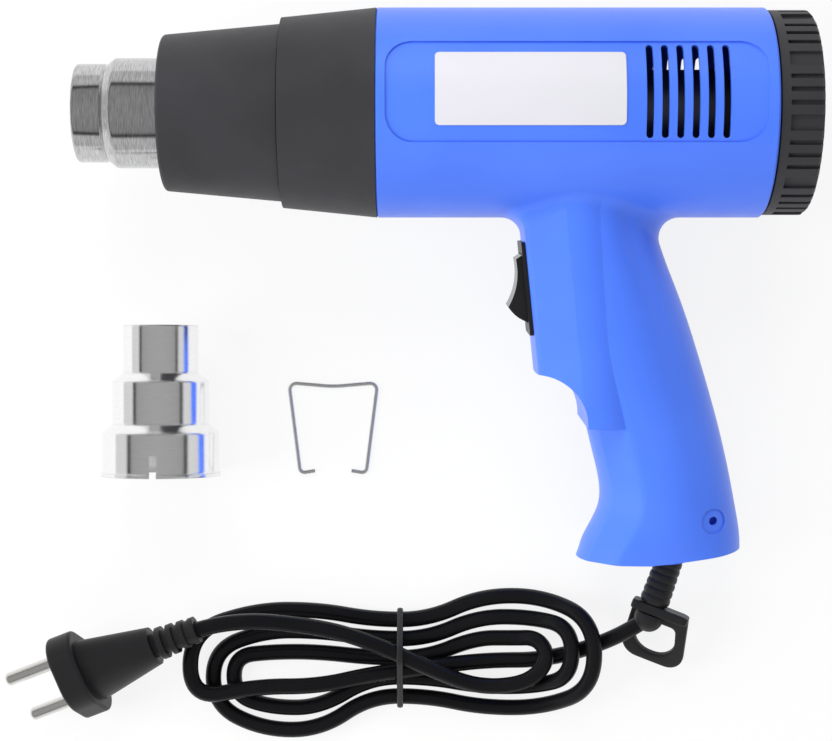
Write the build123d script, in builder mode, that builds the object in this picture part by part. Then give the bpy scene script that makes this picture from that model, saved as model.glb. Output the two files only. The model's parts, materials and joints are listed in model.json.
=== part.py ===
from build123d import *
import os
from math import asin, atan2, cos, degrees, hypot, pi, radians, sin, sqrt, tan

# A corded hot-air tool that lies on its right side, with its cord tied in a hank and two loose accessories.
# Each piece of the tool is drawn in the tool's own lines: x runs back from the outlet's rim, y up from the
# barrel's axis and z to the left side, which lies on top. Loose pieces are drawn over the table, z = 0.

# Clearances
seat_gap = 0.3
running_gap = 0.05
contact_gap = 0.1
overrun = 3.0

# Outlet tube and what sits in it
outlet_radius = 19.0
outlet_band_radius = 17.0
outlet_band_length = 10.0
outlet_shoulder_length = 4.0
outlet_wall = 0.8
outlet_stop_start = 30.0
outlet_stop_length = 1.4
outlet_stop_height = 0.6
outlet_length = 102.5
outlet_flange_radius = 27.0
outlet_flange_thickness = 1.0
baffle_setback = 3.0
baffle_length = 3.0
baffle_ring_width = 2.4
baffle_bar_width = 1.4
sleeve_setback = 15.5
sleeve_wall = 0.6
sleeve_overhang = 2.4
former_setback = 30.0
former_length = 70.0
former_ring_shares = (0.42, 0.78)
former_ring_counts = (6, 12)
coil_hole_radius = 2.0
coil_radius = 1.8
coil_overhang = 2.0

# Nozzle guard and front collar
guard_start = 30.1
guard_end = 70.8
guard_front_radius = 26.9
guard_rear_radius = 30.6
guard_wall = 2.4
guard_opening_radius = 21.5
guard_spigot_radius = 27.6
guard_spigot_length = 11.2
collar_front_radius = 32.8
collar_end = 103.7
collar_lip_length = 12.0
bead_height = 0.6
bead_length = 1.4
bead_setback = 4.0

# Housing barrel
barrel_radius = 36.1
barrel_end = 237.0
barrel_wall = 2.6
barrel_chamfer = 0.6
front_spigot_radius = 31.4
front_spigot_length = 15.7
spigot_wall = 2.4
flange_rib_depth = 3.4
flange_rib_length = 1.5
heater_flange_thickness = 3.0
rear_spigot_radius = 31.5
rear_spigot_length = 8.0
screen_rib_length = 1.4
screen_rib_depth = 1.6
screen_thickness = 0.8
screen_hole_radius = 1.5
screen_pitch = 4.6

# Rear cap
cap_radius = 35.2
cap_end = 251.9
cap_joint_gap = 0.6
cap_disc_thickness = 3.4
cap_chamfer = 1.0
cap_groups = 10
cap_narrow_per_group = 3
cap_smooth_length = 3.0
cap_narrow_width = 1.6
cap_wide_width = 5.2
cap_groove_depth = 1.2
cap_slot_count = 12
cap_slot_width = 3.0
cap_slot_start = 12.0
cap_slot_length = 15.0

# Handle: the block that holds the switch, above the finger rest, and the grip. Each row of the grip gives its
# distance below the barrel's axis, its front and rear edges behind the handle's front, as shares of the
# handle's drop, and its half thickness as a share of the grip's.
handle_drop = 156.0
handle_front = 151.4
handle_wall = 2.6
handle_root_share = 0.1125
block_drop = 108.0
block_lean = 9.4
block_depth = 44.0
block_half = 21.3
block_front_half = 14.5
block_crown = 0.8
block_facet = 14.0
finger_rest_radius = 17.2
finger_rest_setback = 7.7
finger_rest_drop = 107.2
grip_half = 21.2
grip_crown = 3.5
grip_facet = 9.0
grip_front_half = 11.0
grip_rear_half = 16.8
grip_rear_depth = 11.5
grip_swell = 0.6
handle_front_round = 3.0
handle_facet_round = 6.0
handle_rear_round = 6.0
grip_row_shares = (
    (0.1125, 0.0537, 0.3006, 0.953),
    (0.2125, 0.0631, 0.3112, 0.958),
    (0.3125, 0.0756, 0.3350, 0.967),
    (0.4062, 0.0912, 0.3719, 0.981),
    (0.5625, 0.1256, 0.4250, 1.000),
    (0.6731, 0.1594, 0.4581, 0.981),
    (0.7631, 0.1825, 0.4813, 0.967),
    (0.8344, 0.1981, 0.4969, 0.967),
    (0.8812, 0.1969, 0.5062, 0.972),
    (0.9250, 0.1787, 0.5144, 0.976),
    (0.9656, 0.1588, 0.5188, 0.962),
    (1.0000, 0.1475, 0.5188, 0.920),
)
heel_length = 37.0
heel_rise = 3.9
root_fillet = 7.0

# Side panels, vents and label. Their middle lines are turned from the tool's left side towards its top.
panel_start = 107.1
panel_end = 233.3
panel_angle = 10.7
panel_half_height = 16.9
panel_corner = 9.0
panel_depth = 0.6
vent_first = 194.3
vent_pitch = 5.06
vent_count = 6
vent_width = 2.4
vent_half_height = 15.6
label_start = 123.5
label_end = 186.5
label_angle = 11.7
label_half_height = 12.3
label_corner = 1.5
label_thickness = 0.3

# Rocker switch, square to the block's front
switch_drop = 60.5
switch_length = 32.4
switch_width = 25.0
switch_corner = 1.5
switch_proud = 0.8
switch_flange = 1.6
switch_body_length = 28.6
switch_body_width = 22.0
switch_body_depth = 20.0
terminal_length = 7.0
terminal_width = 4.8
terminal_thickness = 0.8
terminal_pitch = 7.0
terminal_count = 3
rocker_pivot_depth = 4.1
rocker_tip_height = 5.4
rocker_tip_half = 8.35
rocker_foot_depth = 3.0
rocker_dish = 1.6
rocker_width = 18.4
rocker_tilt = 14.6
rocker_gap = 0.4
axle_radius = 1.4
axle_length = 0.9

# Air duct, fan and motor
duct_neck_length = 12.0
duct_wall = 1.2
duct_flange_length = 3.0
shroud_start = 150.0
shroud_length = 36.0
shroud_wall = 2.4
mount_thickness = 3.0
mount_cup_length = 10.0
mount_cup_wall = 2.4
mount_arms = 4
mount_arm_width = 4.0
fan_setback = 15.0
fan_length = 12.0
fan_hub_radius = 8.0
fan_blades = 8
fan_blade_chord = 15.0
fan_blade_thickness = 1.4
fan_blade_pitch = 38.0
fan_tip_gap = 0.8
motor_radius = 15.0
motor_length = 36.0
motor_wall = 1.4
motor_cap_length = 5.0
shaft_radius = 1.6
shaft_overhang = 1.5
armature_radius = 9.5
armature_length = 20.0
armature_setback = 5.0
commutator_radius = 4.5
commutator_length = 5.0
magnet_thickness = 2.8
magnet_length = 24.0
magnet_gap_width = 8.0
cutout_radius = 3.3
cutout_height = 5.0

# Electronics in the handle
board_drop = 98.0
board_length = 24.0
board_width = 20.0
board_thickness = 1.6
board_level = 8.0
board_post_radius = 2.0
board_post_inset = 3.6
diode_radius = 1.4
diode_length = 5.0
diode_pitch = 4.4
diode_count = 4
capacitor_length = 12.0
capacitor_width = 6.0
capacitor_height = 8.0
wire_radius = 0.9
wire_level = 6.5
wire_run = 6.0

# Housing screws, which share one size, and their bosses
barrel_screw_height = 28.0
barrel_screw_inset = 8.0
upper_screw_setback = 55.1
upper_screw_drop = 77.0
lower_screw_setback = 39.6
lower_screw_drop = 147.0
screw_radius = 1.4
screw_head_radius = 2.6
screw_head_height = 2.0
screw_seat_level = 11.0
screw_length = 18.0
screw_boss_radius = 4.2

# Pivot holes for the wire stand, one in each side of the grip
pivot_setback = 69.0
pivot_drop = 140.8
pivot_radius = 1.5
pivot_floor = 11.0
pivot_backing = 1.2
pivot_ring_radius = 4.3
pivot_ring_depth = 0.4
pivot_boss_radius = 3.4

# Strain relief, on a line that leans forward from the handle's foot
relief_setback = 56.5
relief_drop = 157.4
relief_lean = 18.8
relief_length = 22.5
relief_rib_count = 6
relief_rib_pitch = 2.75
relief_rib_length = 1.8
relief_root_radius = 3.9
relief_rib_radius = 4.7
relief_rib_growth = 0.1
relief_neck_start = 17.0
relief_neck_length = 4.0
relief_neck_radius = 3.6
relief_end_radius = 5.2
relief_flange_radius = 6.4
relief_flange_length = 3.0
relief_flange_depth = 5.1
relief_throat_radius = 4.7
relief_boss_radius = 9.3
relief_boss_drop = 157.7
relief_boss_setback = 53.3
relief_seat_height = 2.0
relief_seat_half = 12.5

# Cord clamp inside the handle's foot
clamp_distance = 17.6
clamp_length = 20.0
clamp_width = 5.6
clamp_thickness = 3.0
clamp_screw_spread = 13.0
clamp_screw_radius = 1.2
clamp_screw_head_radius = 2.2
clamp_screw_head_height = 1.6
clamp_screw_length = 12.0
clamp_boss_radius = 2.6
cord_inner_length = 24.0

# Hang loop, a flat eye that droops from a bar round the relief's neck
loop_bar_thickness = 3.3
loop_bar_left = 7.4
loop_bar_right = 13.6
loop_bar_half = 4.6
loop_bar_corner = 1.6
loop_droop = 26.0
loop_swing = 14.0
loop_sink = 2.0
loop_reach = 22.3
loop_thickness = 3.0
loop_left = 7.0
loop_right = 14.6
loop_skew = 2.0
loop_outer_corner = 5.0
loop_band = 4.3
loop_inner_corner = 4.0

# Cord: sizes, the step from the relief to its first bend, and the places that it passes over the table
cord_diameter = 5.8
cord_exit_depth = 1.5
lead_step = (-9.9, -7.7, -3.8)
lead_landing = (166.1, -195.4, 3.0)
hank_x = 111.5
hank_y = -194.4
hank_loops = 3
table_layer = 3.0
upper_layer = 9.7
waist_lift = 1.2
waist_step = 7.0
left_reach = 76.0
left_step = 7.6
right_reach = 69.6
right_step = 7.7
lobe = 40.0
upper_left = 17.4
upper_right = 22.5
lower_left = 26.5
lower_left_step = 8.1
lower_right = 18.4
lobe_step = 7.7
upper_right_setback = 1.5
last_right_step = 8.2
left_fold_places = (-2.2, -7.2, -6.6)
left_fold_heights = (9.7, 3.0, 3.0)
right_fold_places = (3.5, 3.5, 3.0)
right_fold_heights = (17.9, 14.0, 11.4)
entry_place = (42.0, -1.0)
entry_waist = -3.6
entry_waist_turn = 7.0
entry_lobe = -9.5
cross_lobe = (38.0, -9.6, 10.5)
cross_waist = (3.2, 18.2)
cross_waist_turn = 25.0
cross_end = (-40.0, 14.0, 15.0)
least_gap = 0.4
arc_samples = 24

# Tie round the hank's waist
tie_width = 2.8
tie_thickness = 0.8
tie_clearance = 0.35
tie_slant_clearance = 1.1

# Mains plug with two round pins, rolled about its own line
plug_x = -8.2
plug_y = -200.5
plug_height = 14.6
plug_heading = 21.5
plug_pitch = 5.0
plug_roll = 34.0
plug_half_length = 17.65
plug_half_width = 13.05
plug_end_radius = 9.0
plug_flange_length = 9.5
plug_flange_round = 1.2
plug_shoulder_length = 12.0
plug_shoulder_length_share = 0.78
plug_shoulder_width_share = 0.62
plug_middle_length_share = 0.6
plug_middle_width_share = 0.56
plug_neck_half_length = 7.4
plug_neck_half_width = 6.4
plug_neck_end_radius = 6.0
plug_body_length = 34.5
plug_relief_length = 16.5
plug_relief_radius = 4.4
plug_ring_radius = 5.9
plug_ring_shrink = 0.35
plug_ring_length = 2.0
plug_ring_count = 4
tail_run = 11.0
pin_length = 19.0
pin_radius = 2.4
pin_spacing = 19.0
pin_tip_round = 1.6

# Reducer nozzle, lying on its rim
reducer_x = 26.5
reducer_y = -126.8
reducer_length = 53.4
reducer_rim_radius = 21.2
reducer_rim_length = 1.2
reducer_base_radius = 20.7
reducer_base_length = 15.4
reducer_middle_radius = 17.1
reducer_middle_end = 33.5
reducer_outlet_radius = 13.3
reducer_shoulder_length = 3.0
reducer_wall = 0.8
reducer_notch_width = 2.4
reducer_notch_length = 8.0
reducer_notch_count = 3

# Wire stand, lying flat
stand_wire_radius = 0.75
stand_x = 86.9
stand_y = -93.9
stand_half_top = 16.3
stand_half_foot = 12.1
stand_dip = 1.4
stand_height = 33.2
stand_hook = 5.4
stand_hook_rise = 0.9
stand_shoulder_radius = 2.4
stand_foot_radius = 1.8
stand_dip_radius = 40.0

# Places that follow from the sizes above
cord_radius = cord_diameter / 2
barrel_bore = barrel_radius - barrel_wall
spigot_start = collar_end - front_spigot_length
spigot_bore = front_spigot_radius - spigot_wall
barrel_bore_start = collar_end + barrel_wall
barrel_bore_end = barrel_end - barrel_wall
rear_spigot_bore = rear_spigot_radius - spigot_wall
rear_spigot_end = barrel_end + rear_spigot_length
screen_start = rear_spigot_end - screen_thickness
outlet_bore = outlet_radius - outlet_wall
sleeve_radius = outlet_bore - contact_gap
sleeve_bore = sleeve_radius - sleeve_wall
former_radius = sleeve_bore - contact_gap
heater_flange_end = outlet_length + heater_flange_thickness
neck_bore = sleeve_radius + contact_gap
shroud_end = shroud_start + shroud_length
shroud_radius = barrel_bore - contact_gap
shroud_bore = shroud_radius - shroud_wall
motor_start = shroud_end - mount_thickness
motor_end = motor_start + motor_length
motor_bore = motor_radius - motor_wall
fan_start = shroud_start + fan_setback
shaft_bore = shaft_radius + running_gap
root_drop = handle_drop * handle_root_share
foot_level = handle_drop - heel_rise - handle_wall
block_slope = block_lean / (block_drop - root_drop)
relief_x = handle_front + relief_setback
boss_x = handle_front + relief_boss_setback
panel_middle = (panel_start + panel_end) / 2
screw_places = (
    (collar_end + barrel_screw_inset, barrel_screw_height),
    (collar_end + barrel_screw_inset, -barrel_screw_height),
    (barrel_end - barrel_screw_inset, barrel_screw_height),
    (barrel_end - barrel_screw_inset, -barrel_screw_height),
    (handle_front + upper_screw_setback, -upper_screw_drop),
    (handle_front + lower_screw_setback, -lower_screw_drop),
)
pivot_place = (handle_front + pivot_setback, -pivot_drop)

# The tool rests on its barrel and on the lowest edge of its grip
tool_roll = degrees(min(
    asin(barrel_radius / hypot(drop * handle_drop, half * grip_half + seat_gap))
    - atan2(half * grip_half + seat_gap, drop * handle_drop)
    for drop, front, rear, half in grip_row_shares[-4:]
))
tool_place = Location((0, 0, barrel_radius), (tool_roll, 0, 0))

# Planes of the switch, its rocker, the strain relief and the hang loop
lean = atan2(block_slope, 1)
switch_down = Vector(sin(lean), -cos(lean), 0)
switch_out = Vector(-cos(lean), -sin(lean), 0)
switch_face = Vector(handle_front + block_slope * (switch_drop - root_drop), -switch_drop, 0)
switch_plane = Plane(origin=switch_face, x_dir=switch_down, z_dir=switch_out)
rocker_pivot = switch_face - switch_out * rocker_pivot_depth
tilt = radians(rocker_tilt)
rocker_plane = Plane(
    origin=rocker_pivot, x_dir=switch_down * cos(tilt) + switch_out * sin(tilt), z_dir=(0, 0, -1),
)
relief_turn = radians(relief_lean)
relief_down = Vector(-sin(relief_turn), -cos(relief_turn), 0)
relief_side = Vector(cos(relief_turn), -sin(relief_turn), 0)
relief_start = Vector(relief_x, -relief_drop, 0)
relief_end = relief_start + relief_down * relief_length
relief_plane = Plane(origin=relief_start, x_dir=relief_side, z_dir=relief_down)
swing = radians(loop_swing)
droop = radians(loop_droop)
loop_side = relief_side * cos(swing) + Vector(0, 0, 1) * sin(swing)
loop_up = Vector(0, 0, 1) * cos(swing) - relief_side * sin(swing)
loop_bar_middle = relief_start + relief_down * (relief_neck_start + relief_neck_length / 2)
bar_plane = Plane(origin=loop_bar_middle, x_dir=loop_side, z_dir=relief_down)
loop_down = relief_down * cos(droop) - loop_up * sin(droop)
loop_plane = Plane(
    origin=loop_bar_middle - loop_up * loop_sink, x_dir=loop_side, z_dir=loop_up * cos(droop) + relief_down * sin(droop),
)

pieces = {}


def ring_section(*corners):
    """A section from its corners, each a place along the axis and a radius."""
    with BuildSketch() as section:
        with BuildLine():
            Polyline(*corners, close=True)
        make_face()
    return section.sketch


def handle_section(front, rear, half, front_half, crown, facet, swell, rear_half, rear_depth):
    """A section across the handle: crowned front, two facets, two swelling sides, a round back and soft corners."""
    side_start = front + crown + facet
    side_end = rear - rear_depth
    with BuildSketch() as section:
        with BuildLine():
            ThreePointArc((front + crown, front_half), (front, 0), (front + crown, -front_half))
            Line((front + crown, -front_half), (side_start, swell - half))
            ThreePointArc((side_start, swell - half), ((side_start + side_end) / 2, -half), (side_end, -rear_half))
            ThreePointArc((side_end, -rear_half), (rear, 0), (side_end, rear_half))
            ThreePointArc((side_end, rear_half), ((side_start + side_end) / 2, half), (side_start, half - swell))
            Line((side_start, half - swell), (front + crown, front_half))
        make_face()
        for along, round_radius in (
            (front + crown, handle_front_round), (side_start, handle_facet_round), (side_end, handle_rear_round),
        ):
            corners = [corner for corner in section.vertices() if abs(corner.X - along) < contact_gap / 10]
            fillet(corners, radius=round_radius)
    return section.sketch


def block_section(drop, inset):
    """The switch block's section at a distance below the barrel's axis, drawn in by a wall."""
    front = handle_front + block_slope * (drop - root_drop) + inset
    return handle_section(
        front, front + block_depth - inset, block_half - inset, block_front_half - inset / 2, block_crown,
        block_facet, grip_swell, grip_rear_half - inset, grip_rear_depth,
    )


def grip_section(row, inset):
    """The grip's section at one of its rows, drawn in by a wall."""
    drop, front, rear, half = row
    return handle_section(
        handle_front + front * handle_drop + inset, handle_front + rear * handle_drop - inset,
        half * grip_half - inset, grip_front_half - inset / 2, grip_crown, grip_facet, grip_swell,
        grip_rear_half - inset, grip_rear_depth,
    )


def grip_middle(drop):
    """The x of the grip's middle line at a distance below the barrel's axis."""
    share = drop / handle_drop
    above = [row for row in grip_row_shares if row[0] <= share][-1]
    below = [row for row in grip_row_shares if row[0] > share][0]
    part = (share - above[0]) / (below[0] - above[0])
    middle = (above[1] + above[2]) * (1 - part) / 2 + (below[1] + below[2]) * part / 2
    return handle_front + middle * handle_drop


def side_plane(angle, middle):
    """A plane through the barrel's axis that faces out of the left side, turned towards the top."""
    turn = radians(angle)
    return Plane(origin=(middle, 0, 0), x_dir=(1, 0, 0), z_dir=(0, sin(turn), cos(turn)))


def bend_radii(points, name):
    """Bend radii that leave a tenth of the shorter run straight at each bend."""
    radii = []
    for before, here, after in zip(points, points[1:], points[2:]):
        first, second = here - before, after - here
        turn = radians(first.get_angle(second))
        radii.append(0.45 * min(first.length, second.length) / tan(turn / 2))
    print(name, "bend radii", [round(radius, 1) for radius in radii])
    return radii


def tube(points, radius, name):
    """A round cord or wire of straight runs and tangent arcs."""
    points = [Vector(point) for point in points]
    with BuildPart() as piece:
        with BuildLine() as route:
            FilletPolyline(*points, radius=bend_radii(points, name))
        with BuildSketch(Plane(origin=points[0], z_dir=points[1] - points[0])):
            Circle(radius)
        sweep(path=route.line)
    length = sum(edge.length for edge in route.line.edges())
    print(name, "length", round(length, 1), "volume over section", round(piece.part.volume / (pi * radius * radius), 1))
    return piece.part


# Housing: outside form, hollow and bosses
with BuildPart() as switch_block:
    for drop in (root_drop, block_drop):
        with BuildSketch(Plane.XZ.offset(drop)):
            add(block_section(drop, 0))
    loft(ruled=True)
    with BuildSketch():
        with Locations((finger_rest_setback + handle_front, -finger_rest_drop)):
            Circle(finger_rest_radius)
    extrude(amount=block_half + overrun, both=True, mode=Mode.SUBTRACT)

with BuildPart() as grip:
    for row in grip_row_shares:
        with BuildSketch(Plane.XZ.offset(row[0] * handle_drop)):
            add(grip_section(row, 0))
    loft()
    heel_end = handle_front + grip_row_shares[-1][2] * handle_drop + overrun
    with BuildSketch():
        with BuildLine():
            Polyline(
                (heel_end - heel_length, -handle_drop), (heel_end, heel_rise - handle_drop),
                (heel_end, -handle_drop - overrun), (heel_end - heel_length, -handle_drop - overrun), close=True,
            )
        make_face()
    extrude(amount=grip_half + overrun, both=True, mode=Mode.SUBTRACT)

with BuildPart() as housing_form:
    with BuildSketch():
        add(ring_section(
            (collar_end, 0), (collar_end, barrel_radius - barrel_chamfer), (collar_end + barrel_chamfer, barrel_radius),
            (barrel_end - barrel_chamfer, barrel_radius), (barrel_end, barrel_radius - barrel_chamfer), (barrel_end, 0),
        ))
    revolve(axis=Axis.X)
    add(switch_block.part)
    add(grip.part)
    seams = [
        edge for edge in housing_form.edges().filter_by(GeomType.BSPLINE)
        if abs(hypot(edge.position_at(0.5).Y, edge.position_at(0.5).Z) - barrel_radius) < contact_gap
    ]
    fillet(seams, radius=root_fillet)
    with BuildSketch():
        add(ring_section(
            (spigot_start, 0), (spigot_start, front_spigot_radius), (collar_end + barrel_wall, front_spigot_radius),
            (collar_end + barrel_wall, 0),
        ))
        bead_start = barrel_end + bead_setback
        add(ring_section(
            (barrel_end - barrel_wall, 0), (barrel_end - barrel_wall, rear_spigot_radius),
            (bead_start, rear_spigot_radius), (bead_start, rear_spigot_radius + bead_height),
            (bead_start + bead_length, rear_spigot_radius + bead_height), (bead_start + bead_length, rear_spigot_radius),
            (rear_spigot_end, rear_spigot_radius), (rear_spigot_end, 0),
        ))
    revolve(axis=Axis.X)
    with BuildSketch(Plane.XZ.offset(foot_level)):
        with Locations((boss_x, 0)):
            Circle(relief_boss_radius)
    extrude(amount=relief_boss_drop - foot_level)

with BuildPart() as hollow:
    for drop in (root_drop, block_drop - handle_wall):
        with BuildSketch(Plane.XZ.offset(drop)):
            add(block_section(drop, handle_wall))
    loft(ruled=True)
    with BuildSketch():
        with Locations((finger_rest_setback + handle_front, -finger_rest_drop)):
            Circle(finger_rest_radius + handle_wall)
    extrude(amount=block_half, both=True, mode=Mode.SUBTRACT)
    with BuildPart(mode=Mode.PRIVATE) as grip_hollow:
        for row in grip_row_shares:
            with BuildSketch(Plane.XZ.offset(row[0] * handle_drop)):
                add(grip_section(row, handle_wall))
        loft()
        with BuildSketch(Plane.XZ.offset(foot_level)):
            with Locations((relief_x, 0)):
                Rectangle(handle_drop, handle_drop)
        extrude(amount=handle_drop - foot_level + overrun, mode=Mode.SUBTRACT)
    add(grip_hollow.part)
    with BuildSketch():
        rib_start = outlet_length - outlet_flange_thickness - flange_rib_length
        rib_radius = spigot_bore - flange_rib_depth
        screen_rib_start = screen_start - screen_rib_length
        add(ring_section(
            (spigot_start - overrun, 0), (spigot_start - overrun, spigot_bore), (rib_start, spigot_bore),
            (rib_start, rib_radius), (rib_start + flange_rib_length, rib_radius),
            (rib_start + flange_rib_length, spigot_bore), (barrel_bore_start, spigot_bore),
            (barrel_bore_start, barrel_bore), (barrel_bore_end, barrel_bore), (barrel_bore_end, rear_spigot_bore),
            (screen_rib_start, rear_spigot_bore), (screen_rib_start, rear_spigot_bore - screen_rib_depth),
            (screen_start, rear_spigot_bore - screen_rib_depth), (screen_start, rear_spigot_bore),
            (rear_spigot_end + overrun, rear_spigot_bore), (rear_spigot_end + overrun, 0),
        ))
    revolve(axis=Axis.X)

board_x = grip_middle(board_drop)
clamp_place = relief_start - relief_down * clamp_distance
clamp_posts = [clamp_place + relief_side * reach / 2 for reach in (-clamp_screw_spread, clamp_screw_spread)]
board_posts = [
    (board_x + along * (board_width / 2 - board_post_inset), across * (board_length / 2 - board_post_inset) - board_drop)
    for along in (-1, 1) for across in (-1, 1)
]

with BuildPart() as bosses:
    with BuildSketch(Plane.XY.offset(-grip_half - barrel_radius)):
        with Locations(*screw_places):
            Circle(screw_boss_radius)
    extrude(amount=2 * (grip_half + barrel_radius))
    for side in (-1, 1):
        with BuildSketch(Plane.XY.offset(side * (pivot_floor - pivot_backing))):
            with Locations(pivot_place):
                Circle(pivot_boss_radius)
        extrude(amount=side * grip_half)
    with BuildSketch(Plane.XZ.offset(foot_level - relief_seat_height)):
        with Locations((relief_x, 0)):
            Rectangle(2 * relief_seat_half, 2 * grip_half)
    extrude(amount=relief_seat_height + handle_wall)
    with BuildSketch(Plane.XY.offset(-grip_half)):
        with Locations(*[(place.X, place.Y) for place in clamp_posts]):
            Circle(clamp_boss_radius)
    extrude(amount=grip_half + cord_radius)
    with BuildSketch(Plane.XY.offset(-grip_half)):
        with Locations(*board_posts):
            Circle(board_post_radius)
    extrude(amount=grip_half - board_level)
    add(housing_form.part, mode=Mode.INTERSECT)

with BuildPart() as panel:
    with BuildSketch(side_plane(panel_angle, panel_middle)):
        RectangleRounded(panel_end - panel_start, 2 * panel_half_height, panel_corner)
    extrude(amount=barrel_radius + overrun)
    with BuildSketch(Plane.YZ.offset(panel_start - overrun)):
        Circle(barrel_radius - panel_depth)
    extrude(amount=panel_end - panel_start + 2 * overrun, mode=Mode.SUBTRACT)

with BuildPart() as vents:
    with BuildSketch(side_plane(panel_angle, vent_first).offset(shroud_bore - overrun)):
        with Locations(*[(number * vent_pitch, 0) for number in range(vent_count)]):
            SlotOverall(2 * vent_half_height, vent_width, rotation=90)
    extrude(amount=barrel_wall + 3 * overrun)

with BuildPart() as switch_recess:
    with BuildSketch(switch_plane.offset(switch_proud - switch_flange)):
        RectangleRounded(switch_length + contact_gap, switch_width + contact_gap, switch_corner)
    extrude(amount=switch_flange + overrun)
    with BuildSketch(switch_plane.offset(-handle_wall - 2 * overrun)):
        Rectangle(switch_body_length + contact_gap, switch_body_width + contact_gap)
    extrude(amount=handle_wall + 3 * overrun)

with BuildPart() as relief_bore:
    with BuildSketch(relief_plane.offset(-relief_flange_depth - relief_flange_length - 2 * overrun)):
        Circle(relief_throat_radius + contact_gap)
    extrude(amount=relief_flange_depth + relief_flange_length + 4 * overrun)
    with BuildSketch(relief_plane.offset(-relief_flange_depth - relief_flange_length - contact_gap)):
        Circle(relief_flange_radius + contact_gap)
    extrude(amount=relief_flange_length + 2 * contact_gap)

with BuildPart() as screw_bores:
    with BuildSketch(Plane.XY.offset(-screw_seat_level)):
        with Locations(*screw_places):
            Circle(screw_radius + running_gap)
    extrude(amount=screw_length)
    with BuildSketch(Plane.XY.offset(-screw_seat_level)):
        with Locations(*screw_places):
            Circle(screw_head_radius + contact_gap)
    extrude(amount=-barrel_radius)

with BuildPart() as pivot_core:
    for row in grip_row_shares:
        with BuildSketch(Plane.XZ.offset(row[0] * handle_drop)):
            add(grip_section(row, pivot_ring_depth))
    loft()

with BuildPart() as pivot_bores:
    with BuildSketch(Plane.XY.offset(-grip_half - overrun)):
        with Locations(pivot_place):
            Circle(pivot_ring_radius)
    extrude(amount=2 * (grip_half + overrun))
    add(pivot_core.part, mode=Mode.SUBTRACT)
    for side in (-1, 1):
        with BuildSketch(Plane.XY.offset(side * pivot_floor)):
            with Locations(pivot_place):
                Circle(pivot_radius)
        extrude(amount=side * grip_half)

with BuildPart() as shells:
    add(housing_form.part)
    add(hollow.part, mode=Mode.SUBTRACT)
    add(bosses.part)
    for piece in (panel, vents, switch_recess, relief_bore, screw_bores, pivot_bores):
        add(piece.part, mode=Mode.SUBTRACT)
    for piece in (panel, vents):
        add(mirror(piece.part, about=Plane.XY, mode=Mode.PRIVATE), mode=Mode.SUBTRACT)
    with BuildSketch(Plane.XY.offset(cord_radius + overrun)):
        with Locations(*[(place.X, place.Y) for place in clamp_posts]):
            Circle(clamp_screw_radius + running_gap)
    extrude(amount=-clamp_screw_length - overrun, mode=Mode.SUBTRACT)

with BuildPart() as left_housing:
    add(shells.part)
    split(bisect_by=Plane.XY, keep=Keep.TOP)
    with BuildSketch(Plane.XY):
        with Locations(*[(place.X, place.Y) for place in clamp_posts]):
            Circle(clamp_boss_radius + contact_gap)
    extrude(amount=cord_radius + overrun, mode=Mode.SUBTRACT)
pieces["left_housing"] = tool_place * left_housing.part

with BuildPart() as right_housing:
    add(shells.part)
    split(bisect_by=Plane.XY, keep=Keep.BOTTOM)
    with BuildSketch(Plane.XY):
        with Locations(*[(place.X, place.Y) for place in clamp_posts]):
            Circle(clamp_boss_radius)
    extrude(amount=cord_radius)
    with BuildSketch(Plane.XY):
        with Locations(*[(place.X, place.Y) for place in clamp_posts]):
            Circle(clamp_screw_radius + running_gap)
    extrude(amount=cord_radius, mode=Mode.SUBTRACT)
pieces["right_housing"] = tool_place * right_housing.part

with BuildPart() as housing_screws:
    with BuildSketch(Plane.XY.offset(-screw_seat_level)):
        with Locations(*screw_places):
            Circle(screw_radius)
    extrude(amount=screw_length - overrun / 2)
    with BuildSketch(Plane.XY.offset(-screw_seat_level)):
        with Locations(*screw_places):
            Circle(screw_head_radius)
    extrude(amount=-screw_head_height)
    with BuildSketch(Plane.XY.offset(-screw_seat_level - screw_head_height)):
        with Locations(*screw_places):
            Rectangle(screw_head_radius, screw_radius / 2)
            Rectangle(screw_radius / 2, screw_head_radius)
    extrude(amount=screw_head_height / 2, mode=Mode.SUBTRACT)
pieces["housing_screws"] = tool_place * housing_screws.part

with BuildPart() as label_plate:
    with BuildSketch(side_plane(label_angle, (label_start + label_end) / 2)):
        RectangleRounded(label_end - label_start, 2 * label_half_height, label_corner)
    extrude(amount=barrel_radius)
    with BuildSketch(Plane.YZ.offset(label_start)):
        Circle(barrel_radius - panel_depth + label_thickness)
    extrude(amount=label_end - label_start, mode=Mode.INTERSECT)
    with BuildSketch(Plane.YZ.offset(label_start)):
        Circle(barrel_radius - panel_depth)
    extrude(amount=label_end - label_start, mode=Mode.SUBTRACT)
pieces["label_plate"] = tool_place * label_plate.part

# Front collar and nozzle guard, which snaps into the collar's lip
collar_start = guard_end + seat_gap
lip_radius = guard_spigot_radius + seat_gap
lip_end = collar_start + collar_lip_length
guard_bead = guard_end + guard_spigot_length - bead_setback
with BuildPart() as front_collar:
    with BuildSketch():
        add(ring_section(
            (collar_start, lip_radius), (collar_start, collar_front_radius), (collar_end, barrel_radius),
            (collar_end, front_spigot_radius + contact_gap), (lip_end, front_spigot_radius + contact_gap),
            (lip_end, lip_radius), (guard_bead + bead_length + seat_gap, lip_radius),
            (guard_bead + bead_length + seat_gap, lip_radius + bead_height), (guard_bead - seat_gap, lip_radius + bead_height),
            (guard_bead - seat_gap, lip_radius),
        ))
    revolve(axis=Axis.X)
pieces["front_collar"] = tool_place * front_collar.part

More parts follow.
